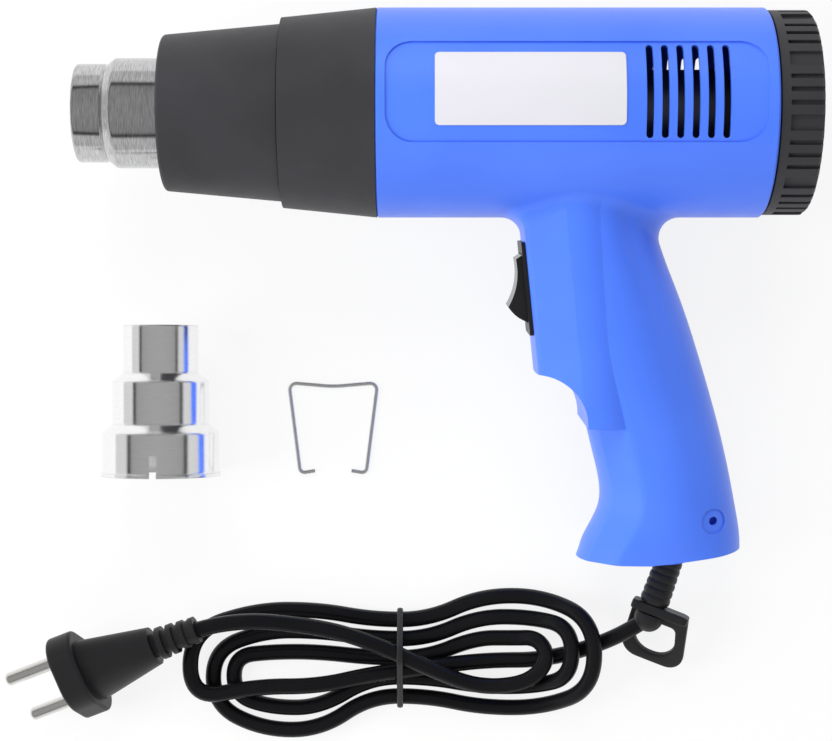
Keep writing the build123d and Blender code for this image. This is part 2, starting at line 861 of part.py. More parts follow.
guard_taper = (guard_rear_radius - guard_front_radius) / (guard_end - guard_start)
guard_spigot_end = guard_end + guard_spigot_length
guard_spigot_bore = guard_spigot_radius - guard_wall
with BuildPart() as nozzle_guard:
    with BuildSketch():
        add(ring_section(
            (guard_start, guard_opening_radius), (guard_start, guard_front_radius), (guard_end, guard_rear_radius),
            (guard_end, guard_spigot_radius), (guard_bead, guard_spigot_radius),
            (guard_bead, guard_spigot_radius + bead_height), (guard_bead + bead_length, guard_spigot_radius + bead_height),
            (guard_bead + bead_length, guard_spigot_radius), (guard_spigot_end, guard_spigot_radius),
            (guard_spigot_end, guard_spigot_bore), (guard_end - guard_wall, guard_spigot_bore),
            (guard_end - guard_wall, guard_rear_radius - guard_wall * (1 + guard_taper)),
            (guard_start + guard_wall, guard_front_radius - guard_wall * (1 - guard_taper)),
            (guard_start + guard_wall, guard_opening_radius),
        ))
    revolve(axis=Axis.X)
    fillet(nozzle_guard.edges().filter_by(GeomType.CIRCLE).group_by(Axis.X)[0].sort_by(SortBy.RADIUS)[-1], guard_wall / 2)
pieces["nozzle_guard"] = tool_place * nozzle_guard.part

# Outlet tube, baffle, sleeve, heater former, coils, flange and cutout
with BuildPart() as outlet_tube:
    shoulder_end = outlet_band_length + outlet_shoulder_length
    with BuildSketch():
        add(ring_section(
            (0, outlet_band_radius - outlet_wall), (0, outlet_band_radius), (outlet_band_length, outlet_band_radius),
            (shoulder_end, outlet_radius), (outlet_stop_start, outlet_radius),
            (outlet_stop_start, outlet_radius + outlet_stop_height),
            (outlet_stop_start + outlet_stop_length, outlet_radius + outlet_stop_height),
            (outlet_stop_start + outlet_stop_length, outlet_radius),
            (outlet_length - outlet_flange_thickness, outlet_radius),
            (outlet_length - outlet_flange_thickness, outlet_flange_radius), (outlet_length, outlet_flange_radius),
            (outlet_length, outlet_bore), (shoulder_end, outlet_bore),
            (outlet_band_length, outlet_band_radius - outlet_wall),
        ))
    revolve(axis=Axis.X)
pieces["outlet_tube"] = tool_place * outlet_tube.part

with BuildPart() as outlet_baffle:
    baffle_radius = outlet_band_radius - outlet_wall - contact_gap
    with BuildSketch(Plane.YZ.offset(baffle_setback)):
        Circle(baffle_radius)
        Circle(baffle_radius - baffle_ring_width, mode=Mode.SUBTRACT)
        Rectangle(2 * baffle_radius - baffle_ring_width, baffle_bar_width)
        Rectangle(baffle_bar_width, 2 * baffle_radius - baffle_ring_width)
    extrude(amount=baffle_length)
pieces["outlet_baffle"] = tool_place * outlet_baffle.part

with BuildPart() as mica_sleeve:
    with BuildSketch(Plane.YZ.offset(sleeve_setback)):
        Circle(sleeve_radius)
        Circle(sleeve_bore, mode=Mode.SUBTRACT)
    extrude(amount=heater_flange_end + sleeve_overhang - sleeve_setback)
pieces["mica_sleeve"] = tool_place * mica_sleeve.part

with BuildPart() as heater_former:
    with BuildSketch(Plane.YZ.offset(former_setback)):
        Circle(former_radius)
        for share, count in zip(former_ring_shares, former_ring_counts):
            with PolarLocations(share * former_radius, count):
                Circle(coil_hole_radius, mode=Mode.SUBTRACT)
    extrude(amount=former_length)
pieces["heater_former"] = tool_place * heater_former.part

with BuildPart() as heating_coils:
    with BuildSketch(Plane.YZ.offset(former_setback - coil_overhang)):
        for share, count in zip(former_ring_shares, former_ring_counts):
            with PolarLocations(share * former_radius, count):
                Circle(coil_radius)
    extrude(amount=former_length + 2 * coil_overhang)
pieces["heating_coils"] = tool_place * heating_coils.part

with BuildPart() as heater_flange:
    with BuildSketch(Plane.YZ.offset(outlet_length)):
        Circle(spigot_bore - contact_gap)
        Circle(neck_bore, mode=Mode.SUBTRACT)
    extrude(amount=heater_flange_thickness)
pieces["heater_flange"] = tool_place * heater_flange.part

with BuildPart() as thermal_cutout:
    with BuildSketch(Plane.YZ.offset(heater_flange_end)):
        with Locations((0, (neck_bore + spigot_bore) / 2)):
            Circle(cutout_radius)
    extrude(amount=cutout_height)
pieces["thermal_cutout"] = tool_place * thermal_cutout.part

# Air duct, fan shroud with its motor cup, fan and motor
with BuildPart() as air_duct:
    neck_end = heater_flange_end + duct_neck_length
    with BuildSketch():
        add(ring_section(
            (heater_flange_end, neck_bore), (heater_flange_end, neck_bore + duct_wall),
            (neck_end, neck_bore + duct_wall), (shroud_start - duct_flange_length, shroud_bore + duct_wall),
            (shroud_start - duct_flange_length, shroud_radius), (shroud_start, shroud_radius),
            (shroud_start, shroud_bore), (neck_end, neck_bore),
        ))
    revolve(axis=Axis.X)
pieces["air_duct"] = tool_place * air_duct.part

cup_bore = motor_radius + contact_gap
with BuildPart() as fan_shroud:
    with BuildSketch(Plane.YZ.offset(shroud_start)):
        Circle(shroud_radius)
        Circle(shroud_bore, mode=Mode.SUBTRACT)
    extrude(amount=shroud_length)
    with BuildSketch(Plane.YZ.offset(motor_start)):
        with PolarLocations((cup_bore + shroud_bore + mount_cup_wall / 2) / 2, mount_arms):
            Rectangle(shroud_bore - cup_bore, mount_arm_width)
    extrude(amount=mount_thickness)
    with BuildSketch(Plane.YZ.offset(motor_start)):
        Circle(cup_bore + mount_cup_wall)
    extrude(amount=mount_cup_length)
    with BuildSketch(Plane.YZ.offset(motor_start)):
        Circle(cup_bore)
    extrude(amount=mount_cup_length, mode=Mode.SUBTRACT)
pieces["fan_shroud"] = tool_place * fan_shroud.part

fan_radius = shroud_bore - fan_tip_gap
with BuildPart() as fan_blade:
    with Locations((fan_start + fan_length / 2, (fan_radius + fan_hub_radius) / 2, 0)):
        Box(fan_blade_chord, fan_radius - fan_hub_radius + overrun, fan_blade_thickness, rotation=(0, fan_blade_pitch, 0))

with BuildPart() as fan_impeller:
    for number in range(fan_blades):
        add(fan_blade.part.rotate(Axis.X, number * 360 / fan_blades))
    with BuildSketch(Plane.YZ.offset(fan_start)):
        Circle(fan_radius)
    extrude(amount=fan_length, mode=Mode.INTERSECT)
    with BuildSketch(Plane.YZ.offset(fan_start)):
        Circle(fan_hub_radius)
    extrude(amount=fan_length)
    with BuildSketch(Plane.YZ.offset(fan_start)):
        Circle(shaft_bore)
    extrude(amount=fan_length, mode=Mode.SUBTRACT)
pieces["fan_impeller"] = tool_place * fan_impeller.part

with BuildPart() as motor_case:
    with BuildSketch():
        add(ring_section(
            (motor_start, shaft_bore), (motor_start, motor_radius), (motor_end, motor_radius), (motor_end, motor_bore),
            (motor_start + motor_wall, motor_bore), (motor_start + motor_wall, shaft_bore),
        ))
    revolve(axis=Axis.X)
pieces["motor_case"] = tool_place * motor_case.part

with BuildPart() as motor_magnets:
    magnet_start = motor_start + motor_wall + armature_setback - (magnet_length - armature_length) / 2
    with BuildSketch(Plane.YZ.offset(magnet_start)):
        Circle(motor_bore - running_gap)
        Circle(motor_bore - magnet_thickness, mode=Mode.SUBTRACT)
        Rectangle(magnet_gap_width, 2 * motor_radius, mode=Mode.SUBTRACT)
    extrude(amount=magnet_length)
pieces["motor_magnets"] = tool_place * motor_magnets.part

with BuildPart() as motor_end_cap:
    with BuildSketch(Plane.YZ.offset(motor_end)):
        Circle(motor_radius)
        Circle(shaft_bore, mode=Mode.SUBTRACT)
    extrude(amount=motor_cap_length)
pieces["motor_end_cap"] = tool_place * motor_end_cap.part

with BuildPart() as motor_rotor:
    shaft_start = fan_start - shaft_overhang
    shaft_end = motor_end + motor_cap_length + shaft_overhang
    armature_start = motor_start + motor_wall + armature_setback
    armature_end = armature_start + armature_length
    commutator_start = motor_end - commutator_length - shaft_overhang
    with BuildSketch():
        add(ring_section(
            (shaft_start, 0), (shaft_start, shaft_radius), (armature_start, shaft_radius),
            (armature_start, armature_radius), (armature_end, armature_radius), (armature_end, shaft_radius),
            (commutator_start, shaft_radius), (commutator_start, commutator_radius),
            (commutator_start + commutator_length, commutator_radius),
            (commutator_start + commutator_length, shaft_radius), (shaft_end, shaft_radius), (shaft_end, 0),
        ))
    revolve(axis=Axis.X)
pieces["motor_rotor"] = tool_place * motor_rotor.part

# Rear cap and intake screen
cap_start = barrel_end + cap_joint_gap
cap_bore = rear_spigot_radius + seat_gap
cap_disc_start = cap_end - cap_disc_thickness
with BuildPart() as rear_cap:
    with BuildSketch():
        add(ring_section(
            (cap_start, cap_bore), (cap_start, cap_radius), (cap_end - cap_chamfer, cap_radius),
            (cap_end, cap_radius - cap_chamfer), (cap_end, 0), (cap_disc_start, 0), (cap_disc_start, cap_bore),
            (bead_start + bead_length + seat_gap, cap_bore), (bead_start + bead_length + seat_gap, cap_bore + bead_height),
            (bead_start - seat_gap, cap_bore + bead_height), (bead_start - seat_gap, cap_bore),
        ))
    revolve(axis=Axis.X)
    group_turn = 360 / cap_groups
    groove_turn = group_turn / (cap_narrow_per_group + 2)
    with BuildSketch(Plane.YZ.offset(cap_start + cap_smooth_length)):
        for number in range(cap_narrow_per_group):
            with PolarLocations(cap_radius, cap_groups, start_angle=number * groove_turn):
                Rectangle(2 * cap_groove_depth, cap_narrow_width)
        with PolarLocations(cap_radius, cap_groups, start_angle=(cap_narrow_per_group + 0.5) * groove_turn):
            Rectangle(2 * cap_groove_depth, cap_wide_width)
    extrude(amount=cap_end - cap_start, mode=Mode.SUBTRACT)
    with BuildSketch(Plane.YZ.offset(cap_disc_start)):
        with PolarLocations(cap_slot_start + cap_slot_length / 2, cap_slot_count):
            SlotOverall(cap_slot_length, cap_slot_width)
    extrude(amount=cap_disc_thickness, mode=Mode.SUBTRACT)
pieces["rear_cap"] = tool_place * rear_cap.part

with BuildPart() as intake_screen:
    screen_radius = rear_spigot_bore - contact_gap
    rows = int(screen_radius / screen_pitch)
    holes = [
        (along * screen_pitch, across * screen_pitch) for along in range(-rows, rows + 1) for across in range(-rows, rows + 1)
        if hypot(along, across) * screen_pitch < screen_radius - screen_rib_depth - screen_hole_radius - screen_thickness
    ]
    with BuildSketch(Plane.YZ.offset(screen_start)):
        Circle(screen_radius)
        with Locations(*holes):
            Circle(screen_hole_radius, mode=Mode.SUBTRACT)
    extrude(amount=screen_thickness)
pieces["intake_screen"] = tool_place * intake_screen.part

# Switch
cavity_radius = hypot(rocker_tip_half, rocker_tip_height + rocker_pivot_depth) + rocker_gap
cavity_width = rocker_width + 2 * seat_gap
body_plane = Plane(origin=rocker_pivot, x_dir=switch_down, z_dir=(0, 0, -1))
with BuildPart() as switch_body:
    with BuildSketch(switch_plane.offset(switch_proud - switch_flange)):
        RectangleRounded(switch_length, switch_width, switch_corner)
    extrude(amount=switch_flange)
    with BuildSketch(switch_plane.offset(switch_proud - switch_flange)):
        Rectangle(switch_body_length, switch_body_width)
    extrude(amount=-switch_body_depth)
    with BuildSketch(body_plane):
        Circle(cavity_radius)
    extrude(amount=cavity_width / 2, both=True, mode=Mode.SUBTRACT)
    with BuildSketch(body_plane):
        Circle(axle_radius + running_gap)
    extrude(amount=rocker_width / 2 + axle_length + seat_gap, both=True, mode=Mode.SUBTRACT)
pieces["switch_body"] = tool_place * switch_body.part

with BuildPart() as switch_rocker:
    tip_level = rocker_tip_height + rocker_pivot_depth
    tip_radius = hypot(rocker_tip_half, tip_level)
    foot_half = sqrt(tip_radius * tip_radius - rocker_foot_depth * rocker_foot_depth)
    with BuildSketch(rocker_plane):
        with BuildLine():
            ThreePointArc((rocker_tip_half, tip_level), (tip_radius, 0), (foot_half, -rocker_foot_depth))
            Line((foot_half, -rocker_foot_depth), (-foot_half, -rocker_foot_depth))
            ThreePointArc((-foot_half, -rocker_foot_depth), (-tip_radius, 0), (-rocker_tip_half, tip_level))
            ThreePointArc((-rocker_tip_half, tip_level), (0, tip_level - rocker_dish), (rocker_tip_half, tip_level))
        make_face()
    extrude(amount=rocker_width / 2, both=True)
    with BuildSketch(rocker_plane):
        Circle(axle_radius)
    extrude(amount=rocker_width / 2 + axle_length, both=True)
pieces["switch_rocker"] = tool_place * switch_rocker.part

switch_back = switch_proud - switch_flange - switch_body_depth
with BuildPart() as switch_terminals:
    with BuildSketch(switch_plane.offset(switch_back)):
        with GridLocations(terminal_pitch, 0, terminal_count, 1):
            Rectangle(terminal_thickness, terminal_width)
    extrude(amount=-terminal_length)
pieces["switch_terminals"] = tool_place * switch_terminals.part

# Electronics
with BuildPart() as rectifier_board:
    with BuildSketch(Plane.XY.offset(-board_level)):
        with Locations((board_x, -board_drop)):
            Rectangle(board_width, board_length)
    extrude(amount=board_thickness)
pieces["rectifier_board"] = tool_place * rectifier_board.part

with BuildPart() as diodes:
    board_top = board_thickness - board_level
    with BuildSketch(Plane.YZ.offset(board_x - board_width / 2 + board_post_inset)):
        with Locations(*[
            (-board_drop + (number - (diode_count - 1) / 2) * diode_pitch, board_top + diode_radius)
            for number in range(diode_count)
        ]):
            Circle(diode_radius)
    extrude(amount=diode_length)
pieces["diodes"] = tool_place * diodes.part

with BuildPart() as capacitor:
    with BuildSketch(Plane.XY.offset(board_top)):
        with Locations((board_x + board_width / 2 - capacitor_width, -board_drop)):
            Rectangle(capacitor_width, capacitor_length)
    extrude(amount=capacitor_height)
pieces["capacitor"] = tool_place * capacitor.part

cord_inner_end = relief_start - relief_down * cord_inner_length
terminal_ends = [
    switch_face + switch_down * (terminal_pitch * number) + switch_out * (switch_back - terminal_length)
    for number in (-1, 0, 1)
]
with BuildPart() as lead_wires:
    live_start = cord_inner_end + Vector(0, 0, cord_radius / 2)
    live_end = terminal_ends[2]
    add(tube([
        live_start, live_start - relief_down * wire_run, Vector(grip_middle(pivot_drop) - wire_run, -upper_screw_drop - 4
        * wire_run, wire_level), Vector(live_end.X + 2 * wire_run, live_end.Y - wire_run / 2, wire_level),
        live_end - switch_out * wire_run, live_end,
    ], wire_radius, "live wire"))
    neutral_start = cord_inner_end - Vector(0, 0, cord_radius / 2)
    neutral_end = Vector(board_x + board_post_inset / 2, -board_drop - board_length / 2, board_thickness / 2 - board_level)
    add(tube([
        neutral_start, neutral_start - relief_down * wire_run, neutral_end - Vector(0, wire_run, 0), neutral_end,
    ], wire_radius, "neutral wire"))
pieces["lead_wires"] = tool_place * lead_wires.part

# Strain relief, cord clamp and the cord's inner end. The cord leaves the relief towards the lead's first bend.
exit_point = Vector((tool_place * Pos(relief_end)).position)
exit_way = Vector(*lead_step).normalized()
relief_frame = Plane(origin=relief_start, x_dir=relief_down, z_dir=(0, 0, 1))
relief_bore_radius = cord_radius + running_gap
with BuildPart() as strain_relief:
    with BuildSketch(relief_frame):
        with BuildLine():
            neck_end = relief_neck_start + relief_neck_length
            ball_start = sqrt(relief_end_radius ** 2 - (relief_length - neck_end) ** 2)
            Polyline(
                (neck_end, ball_start), (neck_end, relief_neck_radius), (relief_neck_start, relief_neck_radius),
                (relief_neck_start, relief_root_radius), (0, relief_root_radius), (0, relief_throat_radius),
                (-relief_flange_depth, relief_throat_radius), (-relief_flange_depth, relief_flange_radius),
                (-relief_flange_depth - relief_flange_length, relief_flange_radius),
                (-relief_flange_depth - relief_flange_length, relief_bore_radius), (relief_length, relief_bore_radius),
                (relief_length, 0), (relief_length + relief_end_radius, 0),
            )
            diagonal = relief_end_radius * sin(radians(45))
            ThreePointArc(
                (relief_length + relief_end_radius, 0), (relief_length + diagonal, diagonal), (neck_end, ball_start),
            )
        make_face()
    revolve(axis=Axis(relief_start, relief_down))
    for number in range(relief_rib_count):
        with BuildSketch(relief_plane.offset(number * relief_rib_pitch + relief_rib_pitch - relief_rib_length)):
            Circle(relief_rib_radius + number * relief_rib_growth)
            Circle(relief_root_radius - running_gap, mode=Mode.SUBTRACT)
        extrude(amount=relief_rib_length)
    cord_out = Plane(origin=relief_end, z_dir=exit_way.rotate(Axis.X, -tool_roll))
    with BuildSketch(cord_out.offset(cord_exit_depth)):
        Circle(relief_bore_radius)
    extrude(amount=relief_end_radius, mode=Mode.SUBTRACT)
pieces["strain_relief"] = tool_place * strain_relief.part

with BuildPart() as cord_core:
    with BuildSketch(relief_plane.offset(relief_length - cord_exit_depth)):
        Circle(cord_radius)
    extrude(amount=cord_exit_depth - relief_length - cord_inner_length)
pieces["cord_core"] = tool_place * cord_core.part

clamp_level = cord_radius + running_gap
with BuildPart() as cord_clamp:
    with BuildSketch(Plane(origin=clamp_place + Vector(0, 0, clamp_level), x_dir=relief_side, z_dir=(0, 0, 1))):
        RectangleRounded(clamp_length, clamp_width, clamp_width / 3)
        with GridLocations(clamp_screw_spread, 0, 2, 1):
            Circle(clamp_screw_radius + running_gap, mode=Mode.SUBTRACT)
    extrude(amount=clamp_thickness)
pieces["cord_clamp"] = tool_place * cord_clamp.part

with BuildPart() as clamp_screws:
    head_plane = Plane(
        origin=clamp_place + Vector(0, 0, clamp_level + clamp_thickness), x_dir=relief_side, z_dir=(0, 0, 1),
    )
    with BuildSketch(head_plane):
        with GridLocations(clamp_screw_spread, 0, 2, 1):
            Circle(clamp_screw_head_radius)
    extrude(amount=clamp_screw_head_height)
    with BuildSketch(head_plane):
        with GridLocations(clamp_screw_spread, 0, 2, 1):
            Circle(clamp_screw_radius)
    extrude(amount=-clamp_screw_length)
pieces["clamp_screws"] = tool_place * clamp_screws.part

# Hang loop
with BuildPart() as hang_loop:
    with BuildSketch(bar_plane.offset(-loop_bar_thickness / 2)):
        with Locations(((loop_bar_right - loop_bar_left) / 2, 0)):
            RectangleRounded(loop_bar_right + loop_bar_left, 2 * loop_bar_half, loop_bar_corner)
    extrude(amount=loop_bar_thickness)
    with BuildSketch(loop_plane):
        with BuildLine():
            Polyline(
                (loop_bar_right, 0), (loop_right + loop_skew, -loop_reach + loop_outer_corner),
                (loop_right + loop_skew - loop_outer_corner, -loop_reach), (-loop_left + loop_outer_corner, -loop_reach),
                (-loop_left, -loop_reach + loop_outer_corner), (-loop_left, 0), close=True,
            )
        make_face()
        with BuildLine():
            Polyline(
                (loop_bar_right - loop_band, -loop_bar_thickness),
                (loop_right + loop_skew - loop_band, -loop_reach + loop_outer_corner),
                (loop_right - loop_outer_corner, -loop_reach + loop_band), (-loop_left + loop_outer_corner, -loop_reach + loop_band),
                (-loop_left + loop_band, -loop_reach + loop_outer_corner), (-loop_left + loop_band, -loop_bar_thickness),
                close=True,
            )
        make_face(mode=Mode.SUBTRACT)
    extrude(amount=loop_thickness / 2, both=True)
    with Locations(relief_end):
        Sphere(relief_end_radius + seat_gap, mode=Mode.SUBTRACT)
    with BuildSketch(relief_plane):
        Circle(relief_neck_radius + seat_gap)
    extrude(amount=relief_length, mode=Mode.SUBTRACT)
pieces["hang_loop"] = tool_place * hang_loop.part

# Plug's line, which the tail meets
heading, pitch, roll = radians(plug_heading), radians(plug_pitch), radians(plug_roll)
plug_way = Vector(cos(heading) * cos(pitch), sin(heading) * cos(pitch), sin(pitch))
plug_level = Vector(-sin(heading), cos(heading), 0)
plug_long = plug_level * cos(roll) + plug_way.cross(plug_level) * sin(roll)
plug_plane = Plane(origin=(plug_x, plug_y, plug_height), x_dir=plug_long, z_dir=plug_way)
plug_relief_end = plug_plane.origin + plug_way * (plug_body_length + plug_relief_length)

# Cord: lead, hank and tail
entry_point = Vector(hank_x + entry_place[0], hank_y + entry_place[1], table_layer)
with BuildPart() as cord_lead:
    add(tube([
        exit_point + exit_way * cord_exit_depth, exit_point + Vector(*lead_step), lead_landing, entry_point,
    ], cord_radius, "lead"))
pieces["cord_lead"] = cord_lead.part

knots = []


def knot(along, across, height, turn):
    """Adds a place that the hank's strand passes level, with its heading in degrees from x."""
    heading = radians(turn)
    knots.append((Vector(hank_x + along, hank_y + across, height), Vector(cos(heading), sin(heading), 0)))


def biarc(start, start_way, end, end_way):
    """The place where two arcs with equal tangents meet, between two places with given headings."""
    span = end - start
    reach_way = span.dot(start_way + end_way)
    reach = span.dot(span) / (reach_way + sqrt(reach_way ** 2 + 2 * (1 - start_way.dot(end_way)) * span.dot(span)))
    first_corner, second_corner = start + start_way * reach, end - end_way * reach
    return (first_corner + second_corner) / 2, (second_corner - first_corner).normalized()


waist_layer = table_layer + waist_lift
knot(entry_place[0], entry_place[1], table_layer, 180)
knot(0, entry_waist, upper_layer + waist_lift, 180 + entry_waist_turn)
knot(-lobe, entry_lobe, upper_layer, 180)
for turn in range(hank_loops):
    knot(turn * left_step - left_reach, left_fold_places[turn], left_fold_heights[turn], 90)
    knot(-lobe, upper_left - turn * lobe_step, table_layer, 0)
    knot(0, (2 - turn) * waist_step, waist_layer, 0)
    knot(lobe - turn * upper_right_setback, upper_right - turn * lobe_step, table_layer, 0)
    fold_step = last_right_step if turn == hank_loops - 1 else right_step
    knot(right_reach - turn * fold_step, right_fold_places[turn], right_fold_heights[turn], -90)
    if turn < hank_loops - 1:
        knot(lobe, turn * lobe_step - lower_right, table_layer, 180)
        knot(0, (turn - 2) * waist_step, waist_layer, 180)
        knot(-lobe, turn * lower_left_step - lower_left, table_layer, 180)
knot(*cross_lobe, 180)
knot(0, *cross_waist, 180 - cross_waist_turn)
hank_end = Vector(hank_x + cross_end[0], hank_y + cross_end[1], cross_end[2])
tail_bend = plug_relief_end + plug_way * tail_run
knots.append((hank_end, (tail_bend - hank_end).normalized()))

with BuildPart() as cord_hank:
    with BuildLine() as hank_line:
        for (start, start_way), (end, end_way) in zip(knots, knots[1:]):
            middle, middle_way = biarc(start, start_way, end, end_way)
            TangentArc(start, middle, tangent=start_way)
            TangentArc(middle, end, tangent=middle_way)
    with BuildSketch(Plane(origin=knots[0][0], z_dir=knots[0][1])):
        Circle(cord_radius)
    sweep(path=hank_line.line)
pieces["cord_hank"] = cord_hank.part

places, travelled, samples = [], [], 0
for edge in hank_line.edges():
    for number in range(arc_samples):
        place = edge.position_at(number / arc_samples)
        places.append((place.X, place.Y, place.Z))
        travelled.append(samples + edge.length * number / arc_samples)
    samples += edge.length
narrowest = min(
    hypot(first[0] - second[0], first[1] - second[1], first[2] - second[2])
    for index, first in enumerate(places)
    for second, way in zip(places[index + 1:], travelled[index + 1:])
    if way - travelled[index] > 3 * cord_diameter
)
print("hank least gap", round(narrowest - cord_diameter, 2), "over", least_gap)
print("hank length", round(samples, 1), "volume over section", round(cord_hank.part.volume / (pi * cord_radius ** 2), 1))

# Tie round the waist, wider over the strands that cross it on a slant
level_strands = [((2 - turn) * waist_step, waist_layer) for turn in range(hank_loops)]
level_strands += [((turn - 2) * waist_step, waist_layer) for turn in range(hank_loops - 1)]
slant_strands = [(entry_waist, upper_layer + waist_lift), cross_waist]
with BuildPart() as cord_tie:
    for spare, mode in ((tie_thickness, Mode.ADD), (0, Mode.SUBTRACT)):
        with BuildSketch(Plane.YZ.offset(hank_x - tie_width / 2)):
            with Locations(*[(hank_y + across, height) for across, height in level_strands]):
                Circle(cord_radius + tie_clearance + spare)
            with Locations(*[(hank_y + across, height) for across, height in slant_strands]):
                Circle(cord_radius + tie_slant_clearance + spare)
            make_hull()
        extrude(amount=tie_width, mode=mode)
pieces["cord_tie"] = cord_tie.part

# Plug
with BuildPart() as plug_body:
    with BuildSketch(plug_plane):
        with GridLocations(2 * (plug_half_length - plug_end_radius), 0, 2, 1):
            Circle(plug_end_radius)
        Circle(plug_half_width)
        make_hull()
    extrude(amount=plug_flange_length)
    fillet(plug_body.edges(), radius=plug_flange_round)
    with BuildSketch(plug_plane.offset(plug_flange_length - plug_flange_round)):
        Ellipse(plug_half_length * plug_shoulder_length_share, plug_half_width * plug_shoulder_width_share)
    with BuildSketch(plug_plane.offset(plug_flange_length + plug_shoulder_length)):
        Ellipse(plug_half_length * plug_middle_length_share, plug_half_width * plug_middle_width_share)
    with BuildSketch(plug_plane.offset(plug_body_length)):
        Ellipse(plug_neck_half_length, plug_neck_half_width)
    loft()
    with BuildSketch(plug_plane.offset(plug_body_length)):
        Circle(plug_relief_radius)
    extrude(amount=plug_relief_length)
    ring_pitch = plug_relief_length / plug_ring_count
    for number in range(plug_ring_count):
        with BuildSketch(plug_plane.offset(plug_body_length + number * ring_pitch + ring_pitch - plug_ring_length)):
            Circle(plug_ring_radius - number * plug_ring_shrink)
        extrude(amount=plug_ring_length)
    with BuildSketch(plug_plane.offset(plug_body_length + plug_relief_length)):
        Circle(cord_radius + running_gap)
    extrude(amount=-cord_diameter, mode=Mode.SUBTRACT)
pieces["plug_body"] = plug_body.part

with BuildPart() as plug_pins:
    with BuildSketch(plug_plane):
        with GridLocations(pin_spacing, 0, 2, 1):
            Circle(pin_radius)
    extrude(amount=-pin_length)
    tips = plug_pins.edges().group_by(Axis(plug_plane.origin, plug_way))[0]
    fillet(tips, radius=pin_tip_round)
pieces["plug_pins"] = plug_pins.part

with BuildPart() as cord_tail:
    add(tube([hank_end, tail_bend, plug_relief_end - plug_way * cord_diameter], cord_radius, "tail"))
pieces["cord_tail"] = cord_tail.part

# Reducer nozzle
reducer_place = Location((reducer_x, reducer_y, reducer_rim_radius), (0, 0, 90))
middle_start = reducer_base_length + reducer_shoulder_length
with BuildPart() as reducer_nozzle:
    with BuildSketch():
        add(ring_section(
            (0, reducer_base_radius - reducer_wall), (0, reducer_rim_radius), (reducer_rim_length, reducer_rim_radius),
            (reducer_rim_length, reducer_base_radius), (reducer_base_length, reducer_base_radius),
            (middle_start, reducer_middle_radius), (reducer_middle_end, reducer_middle_radius),
            (reducer_middle_end + reducer_shoulder_length, reducer_outlet_radius), (reducer_length, reducer_outlet_radius),
            (reducer_length, reducer_outlet_radius - reducer_wall),
            (reducer_middle_end + reducer_shoulder_length, reducer_outlet_radius - reducer_wall),
            (reducer_middle_end, reducer_middle_radius - reducer_wall), (middle_start, reducer_middle_radius - reducer_wall),
            (reducer_base_length, reducer_base_radius - reducer_wall),
        ))
    revolve(axis=Axis.X)
    with BuildSketch(Plane.YZ):
        with PolarLocations(reducer_base_radius, reducer_notch_count, start_angle=90):
            Rectangle(reducer_rim_radius, reducer_notch_width)
    extrude(amount=reducer_notch_length, mode=Mode.SUBTRACT)
pieces["reducer_nozzle"] = reducer_place * reducer_nozzle.part

# Wire stand
foot_y = stand_y - stand_height
stand_points = [
    (stand_x - stand_half_foot + stand_hook, foot_y + stand_hook_rise), (stand_x - stand_half_foot, foot_y),
    (stand_x - stand_half_top, stand_y), (stand_x, stand_y - stand_dip), (stand_x + stand_half_top, stand_y),
    (stand_x + stand_half_foot, foot_y), (stand_x + stand_half_foot - stand_hook, foot_y + stand_hook_rise),
]
with BuildPart() as wire_stand:
    with BuildLine(Plane.XY.offset(stand_wire_radius)) as stand_line:
        FilletPolyline(*stand_points, radius=[
            stand_foot_radius, stand_shoulder_radius, stand_dip_radius, stand_shoulder_radius, stand_foot_radius,
        ])
    hook_way = Vector(-stand_hook, -stand_hook_rise, 0)
    with BuildSketch(Plane(origin=(*stand_points[0], stand_wire_radius), z_dir=hook_way)):
        Circle(stand_wire_radius)
    sweep(path=stand_line.line)
pieces["wire_stand"] = wire_stand.part

# The row's origin lies on the table, under the middle of everything but the cord
cord_pieces = ("cord_lead", "cord_hank", "cord_tail", "cord_tie", "plug_body", "plug_pins")
boxes = [piece.bounding_box() for name, piece in pieces.items() if name not in cord_pieces]
middle_x = (min(box.min.X for box in boxes) + max(box.max.X for box in boxes)) / 2
middle_y = (min(box.min.Y for box in boxes) + max(box.max.Y for box in boxes)) / 2
print("origin over the table", round(middle_x, 3), round(middle_y, 3), "roll", round(tool_roll, 4))
print("switch pivot", rocker_pivot, "relief end", relief_end, "way", relief_down, "exit", exit_point, exit_way)
print("plug end", plug_relief_end, "way", plug_way, "tail bend", tail_bend, "hank end", hank_end)

os.makedirs("parts", exist_ok=True)
for name, piece in pieces.items():
    piece = Pos(-middle_x, -middle_y, 0) * piece
    piece.label = name
    export_step(piece, f"parts/{name}.step")
    box = piece.bounding_box()
    print(name, len(piece.solids()), round(piece.volume), piece.is_valid, [round(v, 1) for v in (*box.min, *box.max)])
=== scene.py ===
import json
from math import cos, radians, sin

